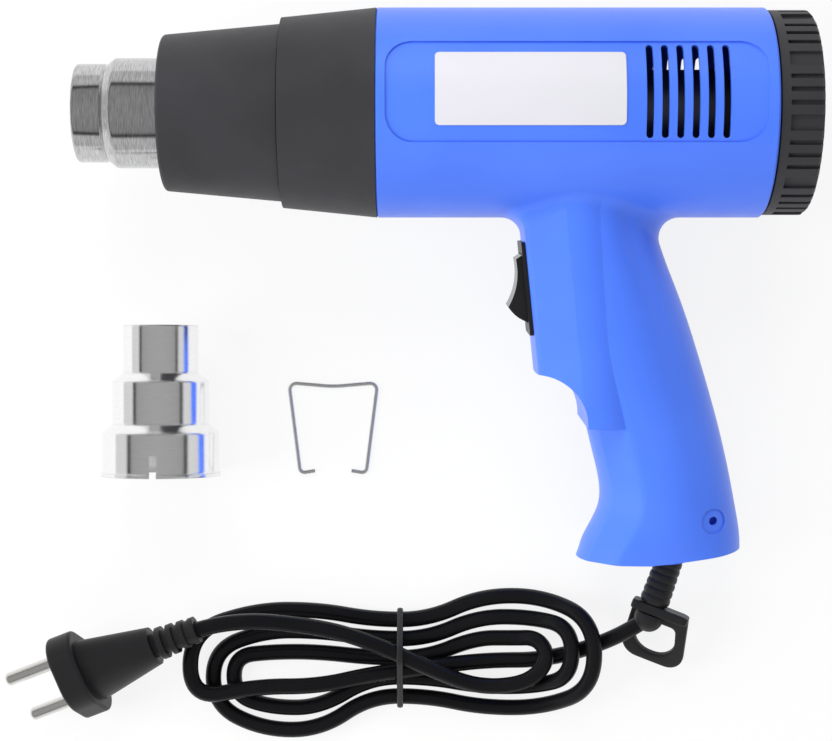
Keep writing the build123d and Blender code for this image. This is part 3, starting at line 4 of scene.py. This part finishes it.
import bmesh
import bpy
import numpy as np
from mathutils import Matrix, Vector


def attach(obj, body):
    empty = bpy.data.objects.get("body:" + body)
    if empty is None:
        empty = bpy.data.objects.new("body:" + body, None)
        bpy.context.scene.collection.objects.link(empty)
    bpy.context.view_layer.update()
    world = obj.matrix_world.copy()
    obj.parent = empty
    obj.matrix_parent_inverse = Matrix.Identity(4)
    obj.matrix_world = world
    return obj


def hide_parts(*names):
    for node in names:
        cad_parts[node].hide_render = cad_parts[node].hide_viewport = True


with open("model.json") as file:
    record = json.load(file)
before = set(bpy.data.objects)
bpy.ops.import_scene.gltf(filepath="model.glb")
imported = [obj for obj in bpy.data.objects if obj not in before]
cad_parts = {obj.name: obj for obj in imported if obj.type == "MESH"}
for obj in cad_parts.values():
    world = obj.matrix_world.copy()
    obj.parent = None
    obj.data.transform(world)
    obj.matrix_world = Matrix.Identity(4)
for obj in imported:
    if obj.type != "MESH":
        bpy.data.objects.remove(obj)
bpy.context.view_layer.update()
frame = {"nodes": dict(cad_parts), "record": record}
nodes = frame["nodes"]
MM = 0.001

# The tool lies on its right side. Its own lines run back from the outlet's rim, up from the barrel's axis and out
# of its left side, and are turned and moved into the row's frame.
TOOL_ROLL = radians(5.9121)
TOOL_ORIGIN = np.array((-125.95, 80.754, 36.1))
BENCH_ORIGIN = np.array((-125.95, 80.754, 0.0))


def tool(points):
    """Places in the tool's own millimetres, turned about the barrel's axis and moved, in row metres."""
    points = np.asarray(points, float)
    x, y, z = points[..., 0], points[..., 1], points[..., 2]
    rolled = np.stack((
        x, y * cos(TOOL_ROLL) - z * sin(TOOL_ROLL), y * sin(TOOL_ROLL) + z * cos(TOOL_ROLL),
    ), -1)
    return (rolled + TOOL_ORIGIN) * MM


def bench(points):
    """Places over the table in millimetres, moved to the row's origin, in row metres."""
    return (np.asarray(points, float) + BENCH_ORIGIN) * MM


# Shader maths. The Mix node's colour sockets are reached by their numbers.
MIX_FACTOR, MIX_FIRST, MIX_SECOND, MIX_COLOUR_OUT = 0, 6, 7, 2


class Value:
    """A socket that can be used in sums: each operator adds its Math node."""

    def __init__(self, finish, socket):
        self.finish, self.socket = finish, socket

    def maths(self, operation, *others):
        """A Math node with these values or links in its inputs."""
        made = self.finish.tree.nodes.new("ShaderNodeMath")
        made.operation = operation
        for number, value in enumerate(others):
            self.finish.join(value, made.inputs[number])
        return Value(self.finish, made.outputs[0])

    def __add__(self, other):
        return self.maths("ADD", self, other)

    def __mul__(self, other):
        return self.maths("MULTIPLY", self, other)

    __radd__ = __add__
    __rmul__ = __mul__


class Finish:
    """A material for one of the object's finishes, built round a principled shader."""

    def __init__(self, name, **constants):
        self.material = bpy.data.materials.new(name)
        self.material.use_nodes = True
        self.tree = self.material.node_tree
        self.shader = self.tree.nodes["Principled BSDF"]
        self.set(**constants)
        self.place = self.node("TexCoord", output="Object")

    def join(self, value, socket):
        """Links a Value to a socket, or sets a plain number, colour or vector on it."""
        if isinstance(value, Value):
            self.tree.links.new(value.socket, socket)
        else:
            socket.default_value = value

    def set(self, **sockets):
        """Sets or links the principled shader's sockets, named in small letters."""
        for name, value in sockets.items():
            self.join(value, self.shader.inputs[name.replace("_", " ").title().replace("Ior", "IOR")])

    def node(self, kind, settings=(), inputs=(), output=0):
        """Any other node: its settings first, then its sockets, and one of its outputs as a Value."""
        made = self.tree.nodes.new("ShaderNode" + kind)
        for name, value in dict(settings).items():
            if name == "stops":
                for stop, (position, shade) in zip(made.color_ramp.elements, value):
                    stop.position, stop.color = position, (shade, shade, shade, 1)
            else:
                setattr(made, name, value)
        for name, value in dict(inputs).items():
            self.join(value, made.inputs[name])
        return Value(self, made.outputs[output])

    def stretched(self, x, y, z):
        """The object's coordinates, scaled along each axis."""
        return self.node("Mapping", inputs={"Vector": self.place, "Scale": (x, y, z)})

    def noise(self, scale, detail=2.0, where=None, roughness=0.5):
        """Noise over the object's coordinates, with this many patches to the metre."""
        return self.node("TexNoise", inputs={
            "Vector": where or self.place, "Scale": scale, "Detail": detail, "Roughness": roughness,
        })

    def ramp(self, value, low, high):
        """0 below low, 1 above high and straight between them."""
        return self.node("ValToRGB", {"stops": ((low, 0.0), (high, 1.0))}, {"Fac": value})

    def mix(self, mask, first, second):
        """A colour between two, by a mask."""
        return self.node("Mix", {"data_type": "RGBA"}, {
            MIX_FACTOR: mask, MIX_FIRST: (*first, 1), MIX_SECOND: (*second, 1),
        }, output=MIX_COLOUR_OUT)

    def bump(self, height, distance, edge):
        """The normal, with edges eased to this radius and the height's fine relief, both in metres."""
        eased = self.node("Bevel", inputs={"Radius": edge})
        self.set(normal=self.node("Bump", inputs={"Height": height, "Distance": distance, "Normal": eased}))


# How far edges are eased, in metres; how many clouds, smears, marks or grains of each finish go to the metre; how far
# the roughness spreads with them, and how far its smoothest places are under the finish's own
SOFT_EDGE = 0.0004
CLOUD_SCALE, SMEAR_SCALE, SMEAR_SPREAD, PLASTIC_DIP = 22.0, 160.0, 0.1, 0.05
MARKS_ALONG_AXIS, MARKS_ROUND_AXIS, MARK_SPREAD = 9000.0, 260.0, 0.1
TARNISH_SCALE, TARNISH_SPREAD, METAL_DIP = 60.0, 0.06, 0.06
DRAWN_SCALE, DRAWN_SPREAD, DRAWN_DEPTH, DRAWN_SHADE = 1800.0, 0.12, 0.000004, 0.88
CLOUDY, STREAKY = (0.3, 0.7), (0.35, 0.65)


def moulded_plastic(name, dark, light, roughness, grain=0.00002, grain_scale=2600.0, gloss=0.5):
    """Moulded plastic: slow cloudy colour, a fine even grain and slightly uneven gloss."""
    finish = Finish(name, specular_ior_level=gloss)
    cloud = finish.noise(CLOUD_SCALE, 3.0)
    fine_grain = finish.noise(grain_scale)
    finish.set(base_color=finish.mix(finish.ramp(cloud, *CLOUDY), dark, light))
    finish.set(roughness=finish.noise(SMEAR_SCALE, 3.0) * SMEAR_SPREAD + (roughness - PLASTIC_DIP))
    finish.bump(fine_grain, grain, SOFT_EDGE)
    return finish.material


def turned_metal(name, colour, roughness, along="x", mark=0.12, depth=0.000004, edge=SOFT_EDGE):
    """Polished sheet metal with fine marks that run round the axis it was turned on."""
    finish = Finish(name, metallic=1.0)
    scales = [MARKS_ALONG_AXIS if axis == along else MARKS_ROUND_AXIS for axis in "xyz"]
    marks = finish.noise(1.0, 3.0, finish.stretched(*scales), 0.6)
    tarnish = finish.noise(TARNISH_SCALE)
    dull = tuple(channel * (1 - mark) for channel in colour)
    finish.set(base_color=finish.mix(finish.ramp(marks, *STREAKY), dull, colour))
    finish.set(roughness=marks * MARK_SPREAD + tarnish * TARNISH_SPREAD + (roughness - METAL_DIP))
    finish.bump(marks, depth, edge)
    return finish.material


def fine_metal(name, colour, roughness):
    """Drawn or plated metal with a fine, even surface."""
    finish = Finish(name, metallic=1.0)
    grain = finish.noise(DRAWN_SCALE, 3.0)
    dull = tuple(channel * DRAWN_SHADE for channel in colour)
    finish.set(base_color=finish.mix(finish.ramp(grain, *CLOUDY), dull, colour))
    finish.set(roughness=grain * DRAWN_SPREAD + (roughness - METAL_DIP))
    finish.bump(grain, DRAWN_DEPTH, SOFT_EDGE)
    return finish.material


finishes = {
    "housing_shell": moulded_plastic("blue_housing_plastic", (0.064, 0.182, 0.88), (0.078, 0.210, 0.95), 0.36),
    "black_plastic": moulded_plastic(
        "black_textured_plastic", (0.028, 0.028, 0.031), (0.041, 0.040, 0.045), 0.55,
        grain=0.00008, grain_scale=1500.0, gloss=0.4,
    ),
    "label": moulded_plastic(
        "white_label_film", (0.67, 0.665, 0.715), (0.70, 0.69, 0.745), 0.35, grain=0.000006,
    ),
    "polished_tube": turned_metal("polished_steel", (0.72, 0.72, 0.73), 0.12, mark=0.5, depth=0.00001),
    "steel_sheet": fine_metal("dull_steel_sheet", (0.20, 0.20, 0.21), 0.5),
    "zinc_screws": fine_metal("zinc_plating", (0.70, 0.71, 0.73), 0.3),
    "stand_wire": fine_metal("bright_drawn_wire", (0.80, 0.80, 0.81), 0.34),
    "nickel_pins": fine_metal("nickel_plating", (0.80, 0.79, 0.76), 0.16),
    "heating_wire": fine_metal("heating_wire_alloy", (0.42, 0.40, 0.37), 0.45),
    "brass_parts": fine_metal("bright_brass", (0.80, 0.62, 0.32), 0.28),
    "mica": moulded_plastic(
        "pressed_mica", (0.50, 0.43, 0.30), (0.64, 0.57, 0.43), 0.5, grain=0.00004, grain_scale=900.0,
    ),
    "ceramic": moulded_plastic(
        "unglazed_ceramic", (0.76, 0.73, 0.66), (0.82, 0.79, 0.72), 0.7, grain=0.00004, grain_scale=1200.0,
    ),
    "inner_plastic": moulded_plastic("plain_inner_plastic", (0.035, 0.035, 0.036), (0.05, 0.05, 0.05), 0.5),
    "magnet": moulded_plastic(
        "sintered_ferrite", (0.03, 0.03, 0.032), (0.05, 0.05, 0.052), 0.6, grain=0.00003, grain_scale=1100.0,
    ),
    "switch_plastic": moulded_plastic(
        "switch_frame_plastic", (0.010, 0.010, 0.011), (0.015, 0.015, 0.016), 0.4, gloss=0.25,
    ),
    "rocker_plastic": moulded_plastic(
        "glossy_rocker_plastic", (0.010, 0.010, 0.011), (0.014, 0.014, 0.015), 0.2, grain=0.000004, gloss=0.25,
    ),
    "board": moulded_plastic(
        "circuit_board", (0.02, 0.10, 0.045), (0.03, 0.14, 0.06), 0.4, grain_scale=700.0,
    ),
    "capacitor_case": moulded_plastic("capacitor_case", (0.55, 0.36, 0.05), (0.62, 0.42, 0.07), 0.25),
    "wire_cover": moulded_plastic("wire_cover", (0.10, 0.02, 0.015), (0.14, 0.03, 0.02), 0.4),
    "black_rubber": moulded_plastic(
        "relief_rubber", (0.010, 0.010, 0.011), (0.017, 0.017, 0.018), 0.45,
        grain=0.00003, grain_scale=1400.0, gloss=0.3,
    ),
    "cord_cover": moulded_plastic(
        "cord_covering", (0.004, 0.004, 0.005), (0.007, 0.007, 0.008), 0.26, grain=0.00001, gloss=0.16,
    ),
    "tie_wire": moulded_plastic("tie_covering", (0.012, 0.012, 0.013), (0.02, 0.02, 0.02), 0.4, gloss=0.35),
    "plug_rubber": moulded_plastic(
        "plug_rubber", (0.010, 0.010, 0.011), (0.016, 0.016, 0.017), 0.42,
        grain=0.00004, grain_scale=1400.0, gloss=0.3,
    ),
}

for part in frame["record"]["subparts"]:
    for slot in nodes[part["node"]].material_slots:
        slot.material = finishes[part["material_slot"]]

# The reducer is brighter than the outlet and was turned about its own axis, which lies along y
nodes["reducer_nozzle"].material_slots[0].material = turned_metal(
    "plated_reducer", (0.95, 0.95, 0.95), 0.12, along="y", mark=0.08, edge=0.0012,
)


# Pieces worked out as surfaces
def placed(name, data):
    """A new object in the scene, at its origin."""
    made = bpy.data.objects.new(name, data)
    bpy.context.scene.collection.objects.link(made)
    return made


def unit(vector):
    """The vector's direction, one long."""
    return np.asarray(vector, float) / np.linalg.norm(vector)


SHARP_ANGLE = radians(50)
SAME_PLACE = 1e-6


def woven(name, finish, *grids):
    """One piece from grids of places. Columns go all the way round, and so do the rows of a ring; a grid that is no
    ring starts and ends in a pole. Places that coincide are merged and the faces are turned outwards."""
    places, faces, count = [], [], 0
    for grid, ring in grids:
        numbers = np.arange(grid.shape[0] * grid.shape[1]).reshape(grid.shape[:2]) + count
        behind, ahead = (numbers, np.roll(numbers, -1, 0)) if ring else (numbers[:-1], numbers[1:])
        faces.append(np.stack((behind, ahead, np.roll(ahead, -1, 1), np.roll(behind, -1, 1)), -1).reshape(-1, 4))
        places.append(grid.reshape(-1, 3))
        count += numbers.size
    mesh = bpy.data.meshes.new(name)
    mesh.from_pydata(np.concatenate(places).tolist(), [], np.concatenate(faces).tolist())
    merged = bmesh.new()
    merged.from_mesh(mesh)
    bmesh.ops.remove_doubles(merged, verts=merged.verts, dist=SAME_PLACE)
    bmesh.ops.recalc_face_normals(merged, faces=merged.faces)
    merged.to_mesh(mesh)
    merged.free()
    mesh.polygons.foreach_set("use_smooth", [True] * len(mesh.polygons))
    mesh.set_sharp_from_angle(angle=SHARP_ANGLE)
    mesh.materials.append(finish)
    return placed(name, mesh)


def rounded(corners, radii, steps=7):
    """A closed outline with an arc at each corner. The arc's centre lies on the bisector of the corner's two sides, a
    radius from each, and the arc turns from one touching place to the other at an even rate."""
    corners = np.asarray(corners, float)
    radii = np.broadcast_to(np.asarray(radii, float), len(corners))
    back, on = (np.roll(corners, shift, 0) - corners for shift in (1, -1))
    back, on = (way / np.linalg.norm(way, axis=1)[:, None] for way in (back, on))
    half = np.arccos(np.clip((back * on).sum(1), -1, 1)) / 2
    inward = (back + on) / np.linalg.norm(back + on, axis=1)[:, None]
    centres = corners + inward * (radii / np.sin(half))[:, None]
    first, last = (corners + way * (radii / np.tan(half))[:, None] - centres for way in (back, on))
    turn, share = (np.pi - 2 * half)[:, None, None], np.linspace(0, 1, steps)[None, :, None]
    arcs = (np.sin((1 - share) * turn) * first[:, None] + np.sin(share * turn) * last[:, None]) / np.sin(turn)
    return (centres[:, None] + arcs).reshape(-1, 2)


def turned(outline, origin, way, columns):
    """A surface of revolution: the first parameter runs along an outline of distances along an axis and radii, and
    the second is the angle round that axis."""
    way = unit(way)
    side = unit(np.cross(way, (0, 0, 1)))
    angle = np.arange(columns)[:, None] / columns * 2 * np.pi
    spokes = np.cos(angle) * side + np.sin(angle) * np.cross(way, side)
    outline = np.asarray(outline, float)
    return np.asarray(origin) + outline[:, None, :1] * way + outline[:, None, 1:] * spokes


PLACES_ON_SIDE = 16


def ring_plate(outer, inner, centre, thickness, origin, x_way, z_way, rows=144, columns=28, power=0.4):
    """A plate with a hole. The first parameter is the angle of a ray from the centre, and the second goes round the
    plate's section on that ray: a superellipse, a block with soft corners, from the inner outline to the outer."""
    angle = np.linspace(-np.pi, np.pi, rows, endpoint=False)

    def reach(outline):
        """How far an outline is from the centre on each ray, read between close places on its sides."""
        sides = np.linspace(outline, np.roll(outline, -1, 0), PLACES_ON_SIDE, endpoint=False) - centre
        sides = sides.reshape(-1, 2)
        turns = np.arctan2(sides[:, 1], sides[:, 0])
        order = np.argsort(turns)
        return np.interp(angle, turns[order], np.hypot(*sides.T)[order], period=2 * np.pi)

    near, far = reach(inner)[:, None], reach(outer)[:, None]
    around = np.arange(columns) / columns * 2 * np.pi
    across, height = (np.sign(wave) * np.abs(wave) ** power for wave in (np.cos(around), np.sin(around)))
    radius = (near + far) / 2 + (far - near) / 2 * across
    x = centre[0] + radius * np.cos(angle)[:, None]
    y = centre[1] + radius * np.sin(angle)[:, None]
    z = np.broadcast_to(thickness / 2 * height, x.shape)
    x_way, z_way = unit(x_way), unit(z_way)
    return np.asarray(origin) + x[..., None] * x_way + y[..., None] * np.cross(z_way, x_way) + z[..., None] * z_way


# Outlet tube, with its curled rim, the stepped-down band, the stop bead and the flange held in the housing.
# All its sizes are in millimetres, along the barrel's axis from the rim, or out from that axis.
OUTLET_RADIUS, BAND_RADIUS, FLANGE_RADIUS = 19.0, 17.0, 27.0
OUTLET_WALL, RIM_CURL, RIM_LIP, SEAM_DEPTH = 0.8, 1.4, 1.2, 0.5
BAND_END, SEAM_END, SHOULDER_END = 9.8, 10.4, 13.6
BEAD_START, BEAD_END, BEAD_RADIUS = 30.0, 31.4, 19.6
FLANGE_START, OUTLET_END = 101.5, 102.5
BORE_SHOULDER_START, BORE_SHOULDER_END = 11.0, 14.0
BORE, BAND_BORE = OUTLET_RADIUS - OUTLET_WALL, BAND_RADIUS - OUTLET_WALL
outlet_outline = rounded(
    (
        (0, BAND_RADIUS - RIM_CURL), (0, BAND_RADIUS), (BAND_END, BAND_RADIUS), (SEAM_END, BAND_RADIUS - SEAM_DEPTH),
        (SHOULDER_END, OUTLET_RADIUS), (BEAD_START, OUTLET_RADIUS), (BEAD_START, BEAD_RADIUS),
        (BEAD_END, BEAD_RADIUS), (BEAD_END, OUTLET_RADIUS), (FLANGE_START, OUTLET_RADIUS),
        (FLANGE_START, FLANGE_RADIUS), (OUTLET_END, FLANGE_RADIUS), (OUTLET_END, BORE),
        (BORE_SHOULDER_END, BORE), (BORE_SHOULDER_START, BAND_BORE), (RIM_LIP, BAND_BORE),
        (RIM_LIP, BAND_RADIUS - RIM_CURL),
    ),
    (0.4, 0.9, 0.3, 0.25, 2.0, 0.2, 0.2, 0.2, 0.2, 0.5, 0.3, 0.3, 0.5, 0.5, 0.5, 0.15, 0.15),
)
outlet_skin = tool(turned(outlet_outline, (0, 0, 0), (1, 0, 0), 160))
outlet = woven("steel_outlet", finishes["polished_tube"], (outlet_skin, True))
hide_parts("outlet_tube")
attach(outlet, "housing")

# Strain relief: a seat held in the handle, a throat, rounded ribs with narrow grooves between them, the neck that
# holds the loop, and the round end that the cord leaves. Its outline runs down from the handle's heel.
RELIEF_START, RELIEF_DOWN = np.array((207.9, -157.4, 0)), np.array((-0.322266, -0.946649, 0))
RELIEF_LENGTH, RELIEF_END_RADIUS = 22.5, 5.2
RIB_PITCH, RIB_RADIUS, RIB_GROWTH, GROOVE_DEPTH, RIBS_END = 2.75, 4.9, 0.03, 0.5, 16.5
NECK_START, NECK_END, NECK_RADIUS, NECK_SHOULDER_RADIUS = 17.0, 21.0, 3.6, 4.8
SEAT_START, SEAT_END, SEAT_RADIUS, THROAT_RADIUS = -8.1, -5.1, 6.4, 4.7
ribs = np.linspace(0, RIBS_END, 100)
groove = 1 - np.sqrt(np.abs(np.sin(np.pi * ribs / RIB_PITCH)))
end_arc = np.linspace(np.arcsin((NECK_END - RELIEF_LENGTH) / RELIEF_END_RADIUS), np.pi / 2, 16)
relief_outline = np.concatenate((
    ((SEAT_START, 0), (SEAT_START, SEAT_RADIUS), (SEAT_END, SEAT_RADIUS)),
    ((SEAT_END, THROAT_RADIUS), (0, THROAT_RADIUS)),
    np.stack((ribs, RIB_RADIUS + RIB_GROWTH * ribs - GROOVE_DEPTH * groove), -1),
    ((NECK_START, NECK_SHOULDER_RADIUS), (NECK_START, NECK_RADIUS), (NECK_END, NECK_RADIUS)),
    np.stack((RELIEF_LENGTH + RELIEF_END_RADIUS * np.sin(end_arc), RELIEF_END_RADIUS * np.cos(end_arc)), -1),
))
relief_skin = tool(turned(relief_outline, RELIEF_START, RELIEF_DOWN, 72))
relief = woven("ribbed_relief", finishes["black_rubber"], (relief_skin, False))
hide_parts("strain_relief")
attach(relief, "housing")

# Hang loop: a bar that turns on the relief's neck, and the ring that hangs from it. Both are drawn from the middle of
# the neck, with x to the relief's side. The loop is swung out of the level about the neck, and the ring is drooped.
LOOP_SWING, LOOP_DROOP = radians(14), radians(26)
BAR_LEFT, BAR_RIGHT, BAR_HALF, BAR_THICKNESS, BAR_CORNER = -7.4, 13.6, 4.6, 3.3, 1.6
BAR_BORE = NECK_RADIUS + 0.3
RING_THICKNESS, RING_SINK = 3.0, 2.0
RING_MIDDLE = np.array((4.4, -12.0))
ring_outside = rounded(((13.6, 0), (17.0, -22.3), (-7, -22.3), (-7, 0)), (0.6, 5.5, 6.5, 0.6), 12)
ring_inside = rounded(((10.2, -5.0), (13.2, -18.8), (-3.4, -18.8), (-3.3, -5.0)), (2.4, 6.6, 7.4, 2.4), 12)
neck_middle = RELIEF_START + RELIEF_DOWN * (NECK_START + NECK_END) / 2
relief_side = np.array((-RELIEF_DOWN[1], RELIEF_DOWN[0], 0))
loop_side = relief_side * cos(LOOP_SWING) + (0, 0, sin(LOOP_SWING))
loop_up = np.array((0, 0, cos(LOOP_SWING))) - relief_side * sin(LOOP_SWING)
circle = np.arange(48) * np.pi / 24
bar = ring_plate(
    rounded(((BAR_LEFT, -BAR_HALF), (BAR_RIGHT, -BAR_HALF), (BAR_RIGHT, BAR_HALF), (BAR_LEFT, BAR_HALF)), BAR_CORNER),
    BAR_BORE * np.stack((np.cos(circle), np.sin(circle)), -1),
    np.zeros(2), BAR_THICKNESS, neck_middle, loop_side, RELIEF_DOWN,
)
ring = ring_plate(
    ring_outside, ring_inside, RING_MIDDLE, RING_THICKNESS, neck_middle - loop_up * RING_SINK, loop_side,
    loop_up * cos(LOOP_DROOP) + RELIEF_DOWN * sin(LOOP_DROOP),
)
loop = woven("rubber_hang_loop", finishes["black_rubber"], (tool(bar), True), (tool(ring), True))
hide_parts("hang_loop")
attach(loop, "hang_loop")

# Mains cord. HANK is the middle of the tied hank on the table, and the knots are places along its strand.
CORD_DIAMETER = 5.8
HANK = np.array((111.5, -194.4, 0.0))
hank_knots = []


def knot(along, across, height, degrees):
    """Notes a place where the hank's strand runs level, and its heading there in degrees from x."""
    way = np.array((cos(radians(degrees)), sin(radians(degrees)), 0.0))
    hank_knots.append((HANK + (along, across, height), way))


knot(42, -1, 3, 180)
knot(0, -3.6, 10.9, 187)
knot(-40, -9.5, 9.7, 180)
for turn in range(3):
    knot(7.6 * turn - 76, (-2.2, -7.2, -6.6)[turn], (9.7, 3, 3)[turn], 90)
    knot(-40, 17.4 - 7.7 * turn, 3, 0)
    knot(0, 14 - 7 * turn, 4.2, 0)
    knot(40 - 1.5 * turn, 22.5 - 7.7 * turn, 3, 0)
    knot(69.6 - (7.7, 7.7, 8.2)[turn] * turn, (3.5, 3.5, 3)[turn], (17.9, 14, 11.4)[turn], -90)
    if turn < 2:
        knot(40, 7.7 * turn - 18.4, 3, 180)
        knot(0, 7 * turn - 14, 4.2, 180)
        knot(-40, 8.1 * turn - 26.5, 3, 180)
knot(38, -9.6, 10.5, 180)
knot(0, 3.2, 18.2, 155)

# The lead leaves the relief's round end, and the tail goes on into the plug's own relief
relief_end = np.array((200.649, -177.749, 17.6935))
exit_way = np.array((-0.755439, -0.587564, -0.289967))
EXIT_STEP, PLUG_DEPTH = 1.5, 5.8
cord_start = relief_end + exit_way * EXIT_STEP
tail_bend = np.array((49.2664, -177.863, 20.0037))
plug_way = np.array((0.926877, 0.365107, 0.087156))
plug_end = np.array((39.0707, -181.88, 19.0449)) - plug_way * PLUG_DEPTH
hank_end = HANK + (-40, 14, 15)
hank_knots.append((hank_end, unit(tail_bend - hank_end)))


def meeting_points(first, second):
    """The two control places between two knots. The first lies ahead of its knot and the second behind its own, both
    on the knot's heading and equally far from it, and the places are twice that far apart from each other."""
    (start, start_way), (end, end_way) = first, second
    span = end - start
    along = span @ (start_way + end_way)
    reach = span @ span / (along + np.sqrt(along ** 2 + 2 * (1 - start_way @ end_way) * (span @ span)))
    return start + start_way * reach, end - end_way * reach


lead_drop, lead_landing = relief_end + (-9.9, -7.7, -3.8), np.array((166.1, -195.4, 3.0))
cord_places = [cord_start, lead_drop, lead_landing]
for first, second in zip(hank_knots, hank_knots[1:]):
    cord_places.extend(meeting_points(first, second))
# The innermost fold climbs and turns at once, so it is spread over five places, listed one by one
INNER_FOLD = slice(47, 51)
cord_places[INNER_FOLD] = [
    HANK + place for place in (
        (42, 7.1, 3.2), (49.5, 8, 8.4), (53.5, 2.8, 11.6), (51.1, -3.8, 11.6), (43.3, -8.8, 10.8),
    )
]
cord_places += [tail_bend, plug_end]


def strand(name, places, diameter, finish, steps=12, sides=6):
    """A round cord: a NURBS line of order three through these control places, with a round section."""
    line = bpy.data.curves.new(name, "CURVE")
    line.dimensions = "3D"
    spline = line.splines.new("NURBS")
    spline.points.add(len(places) - 1)
    spline.points.foreach_set("co", np.hstack((np.asarray(places), np.ones((len(places), 1)))).ravel())
    spline.order_u, spline.use_endpoint_u = 3, True
    line.resolution_u, line.bevel_depth, line.bevel_resolution, line.use_fill_caps = steps, diameter / 2, sides, True
    line.materials.append(finish)
    return placed(name, line)


mains_cord = strand("mains_cord", bench(cord_places), CORD_DIAMETER * MM, finishes["cord_cover"])
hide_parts("cord_lead", "cord_hank", "cord_tail")
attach(mains_cord, "housing")

# Tie: a covered wire round the hank's waist. Its line is the hull of the strands that it holds, so at each heading it
# stands off the strand that reaches furthest that way, and its section is an ellipse across that line.
WAIST_STEP, LEVEL_HEIGHT = 7.0, 4.2
LEVEL_CLEARANCE, SLANT_CLEARANCE, TIE_STANDOFF = 0.35, 1.1, 0.4
TIE_HALF_WIDTH, TIE_HALF_THICKNESS = 1.1, 0.65
level_strands = [(WAIST_STEP * step, LEVEL_HEIGHT) for step in (2, 1, 0, -2, -1)]
slant_strands = [(-3.6, 10.9), (3.2, 18.2)]
strands = np.array(level_strands + slant_strands)
clearances = np.array([LEVEL_CLEARANCE] * len(level_strands) + [SLANT_CLEARANCE] * len(slant_strands))
reaches = CORD_DIAMETER / 2 + TIE_STANDOFF + clearances
heading = np.linspace(0, 2 * np.pi, 120, endpoint=False)[:, None]
outward = np.concatenate((np.cos(heading), np.sin(heading)), 1)
furthest = np.argmax(outward @ strands.T + reaches, 1)
hull = strands[furthest] + outward * reaches[furthest, None]
tie_line = np.insert(hull, 0, HANK[0], axis=1) + (0, HANK[1], 0)
around = np.arange(16)[:, None] / 16 * 2 * np.pi
along_hank = np.broadcast_to(TIE_HALF_WIDTH * np.cos(around), (len(heading), len(around), 1))
off_hank = outward[:, None] * TIE_HALF_THICKNESS * np.sin(around)
tie_skin = tie_line[:, None] + np.concatenate((along_hank, off_hank), 2)
tie = woven("wire_tie", finishes["tie_wire"], (bench(tie_skin), True))
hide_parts("cord_tie")
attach(tie, "housing")

# Floor
FLOOR_HALF, FLOOR_DROP = 4.0, 0.0002
floor_corners = [
    (x * FLOOR_HALF, y * FLOOR_HALF, -FLOOR_DROP) for x, y in ((-1, -1), (1, -1), (1, 1), (-1, 1))
]
floor_mesh = bpy.data.meshes.new("floor")
floor_mesh.from_pydata(floor_corners, [], [(0, 1, 2, 3)])
floor = placed("floor", floor_mesh)

# The floor shows white to the camera, to metal and to glass, and keeps a share of the object's shadow
WHITE_SHARE = 0.85
paper = Finish("floor_paper", base_color=(0.86, 0.86, 0.86, 1), roughness=0.9, specular_ior_level=0.1)
path = paper.node("LightPath", output="Is Camera Ray")
rays = path + paper.node("LightPath", output="Is Glossy Ray") + paper.node("LightPath", output="Is Transmission Ray")
glow = paper.node("Emission", inputs={"Color": (1, 1, 1, 1), "Strength": 1.0})
blend = paper.node("MixShader", inputs={
    0: rays * WHITE_SHARE, 1: Value(paper, paper.shader.outputs[0]), 2: glow,
})
paper.join(blend, paper.tree.nodes["Material Output"].inputs["Surface"])
floor_mesh.materials.append(paper.material)

# World: white at the horizon, a narrow dark band halfway up that polished metal shows, and grey above it. Each stop is
# a direction's z and its shade.
SKY_BANDS = ((0.0, 0.92), (0.46, 1.0), (0.50, 0.02), (0.57, 0.02), (0.62, 0.46), (1.0, 0.52))
SKY_STRENGTH = 0.72
world = bpy.data.worlds.new("studio")
bpy.context.scene.world = world
world.use_nodes = True
sky = world.node_tree
background = sky.nodes["Background"]
direction = sky.nodes.new("ShaderNodeTexCoord")
parts = sky.nodes.new("ShaderNodeSeparateXYZ")
sky.links.new(direction.outputs["Generated"], parts.inputs[0])
ceiling = sky.nodes.new("ShaderNodeValToRGB")
for number, (height, shade) in enumerate(SKY_BANDS):
    stop = ceiling.color_ramp.elements[number] if number < 2 else ceiling.color_ramp.elements.new(height)
    stop.position, stop.color = height, (shade, shade, shade, 1)
sky.links.new(parts.outputs["Z"], ceiling.inputs[0])
sky.links.new(ceiling.outputs[0], background.inputs["Color"])
background.inputs["Strength"].default_value = SKY_STRENGTH

# Softboxes: a name, a place, a width and a depth in metres, and a power in watts
LIT_PLACE = (0, 0, 0.03)
for name, place, size, power in (
    ("softbox_far", (-0.15, 0.75, 0.75), (0.9, 0.45), 6.0),
    ("softbox_near", (0.25, -0.8, 0.7), (0.9, 0.45), 3.0),
    ("softbox_left", (-0.85, -0.1, 0.6), (0.5, 0.8), 8.5),
):
    lamp = bpy.data.lights.new(name, "AREA")
    lamp.shape, lamp.size, lamp.size_y, lamp.energy = "RECTANGLE", *size, power
    softbox = placed(name, lamp)
    softbox.location = place
    softbox.visible_glossy = False
    softbox.rotation_euler = (Vector(LIT_PLACE) - Vector(place)).to_track_quat("-Z", "Y").to_euler()

# Camera: straight down on the table, over the middle of the photograph
PHOTO_WIDTH, FOCAL_PIXELS, SENSOR_WIDTH = 832, 1780, 36.0
CAMERA_PLACE = (117.3, -89.4, 655)
lens = bpy.data.cameras.new("camera")
lens.sensor_width, lens.lens = SENSOR_WIDTH, FOCAL_PIXELS / PHOTO_WIDTH * SENSOR_WIDTH
lens.clip_start, lens.clip_end = 0.01, 20.0
camera = placed("camera", lens)
camera.location = bench(CAMERA_PLACE)
bpy.context.scene.camera = camera
bpy.context.scene.view_settings.view_transform = "Standard"
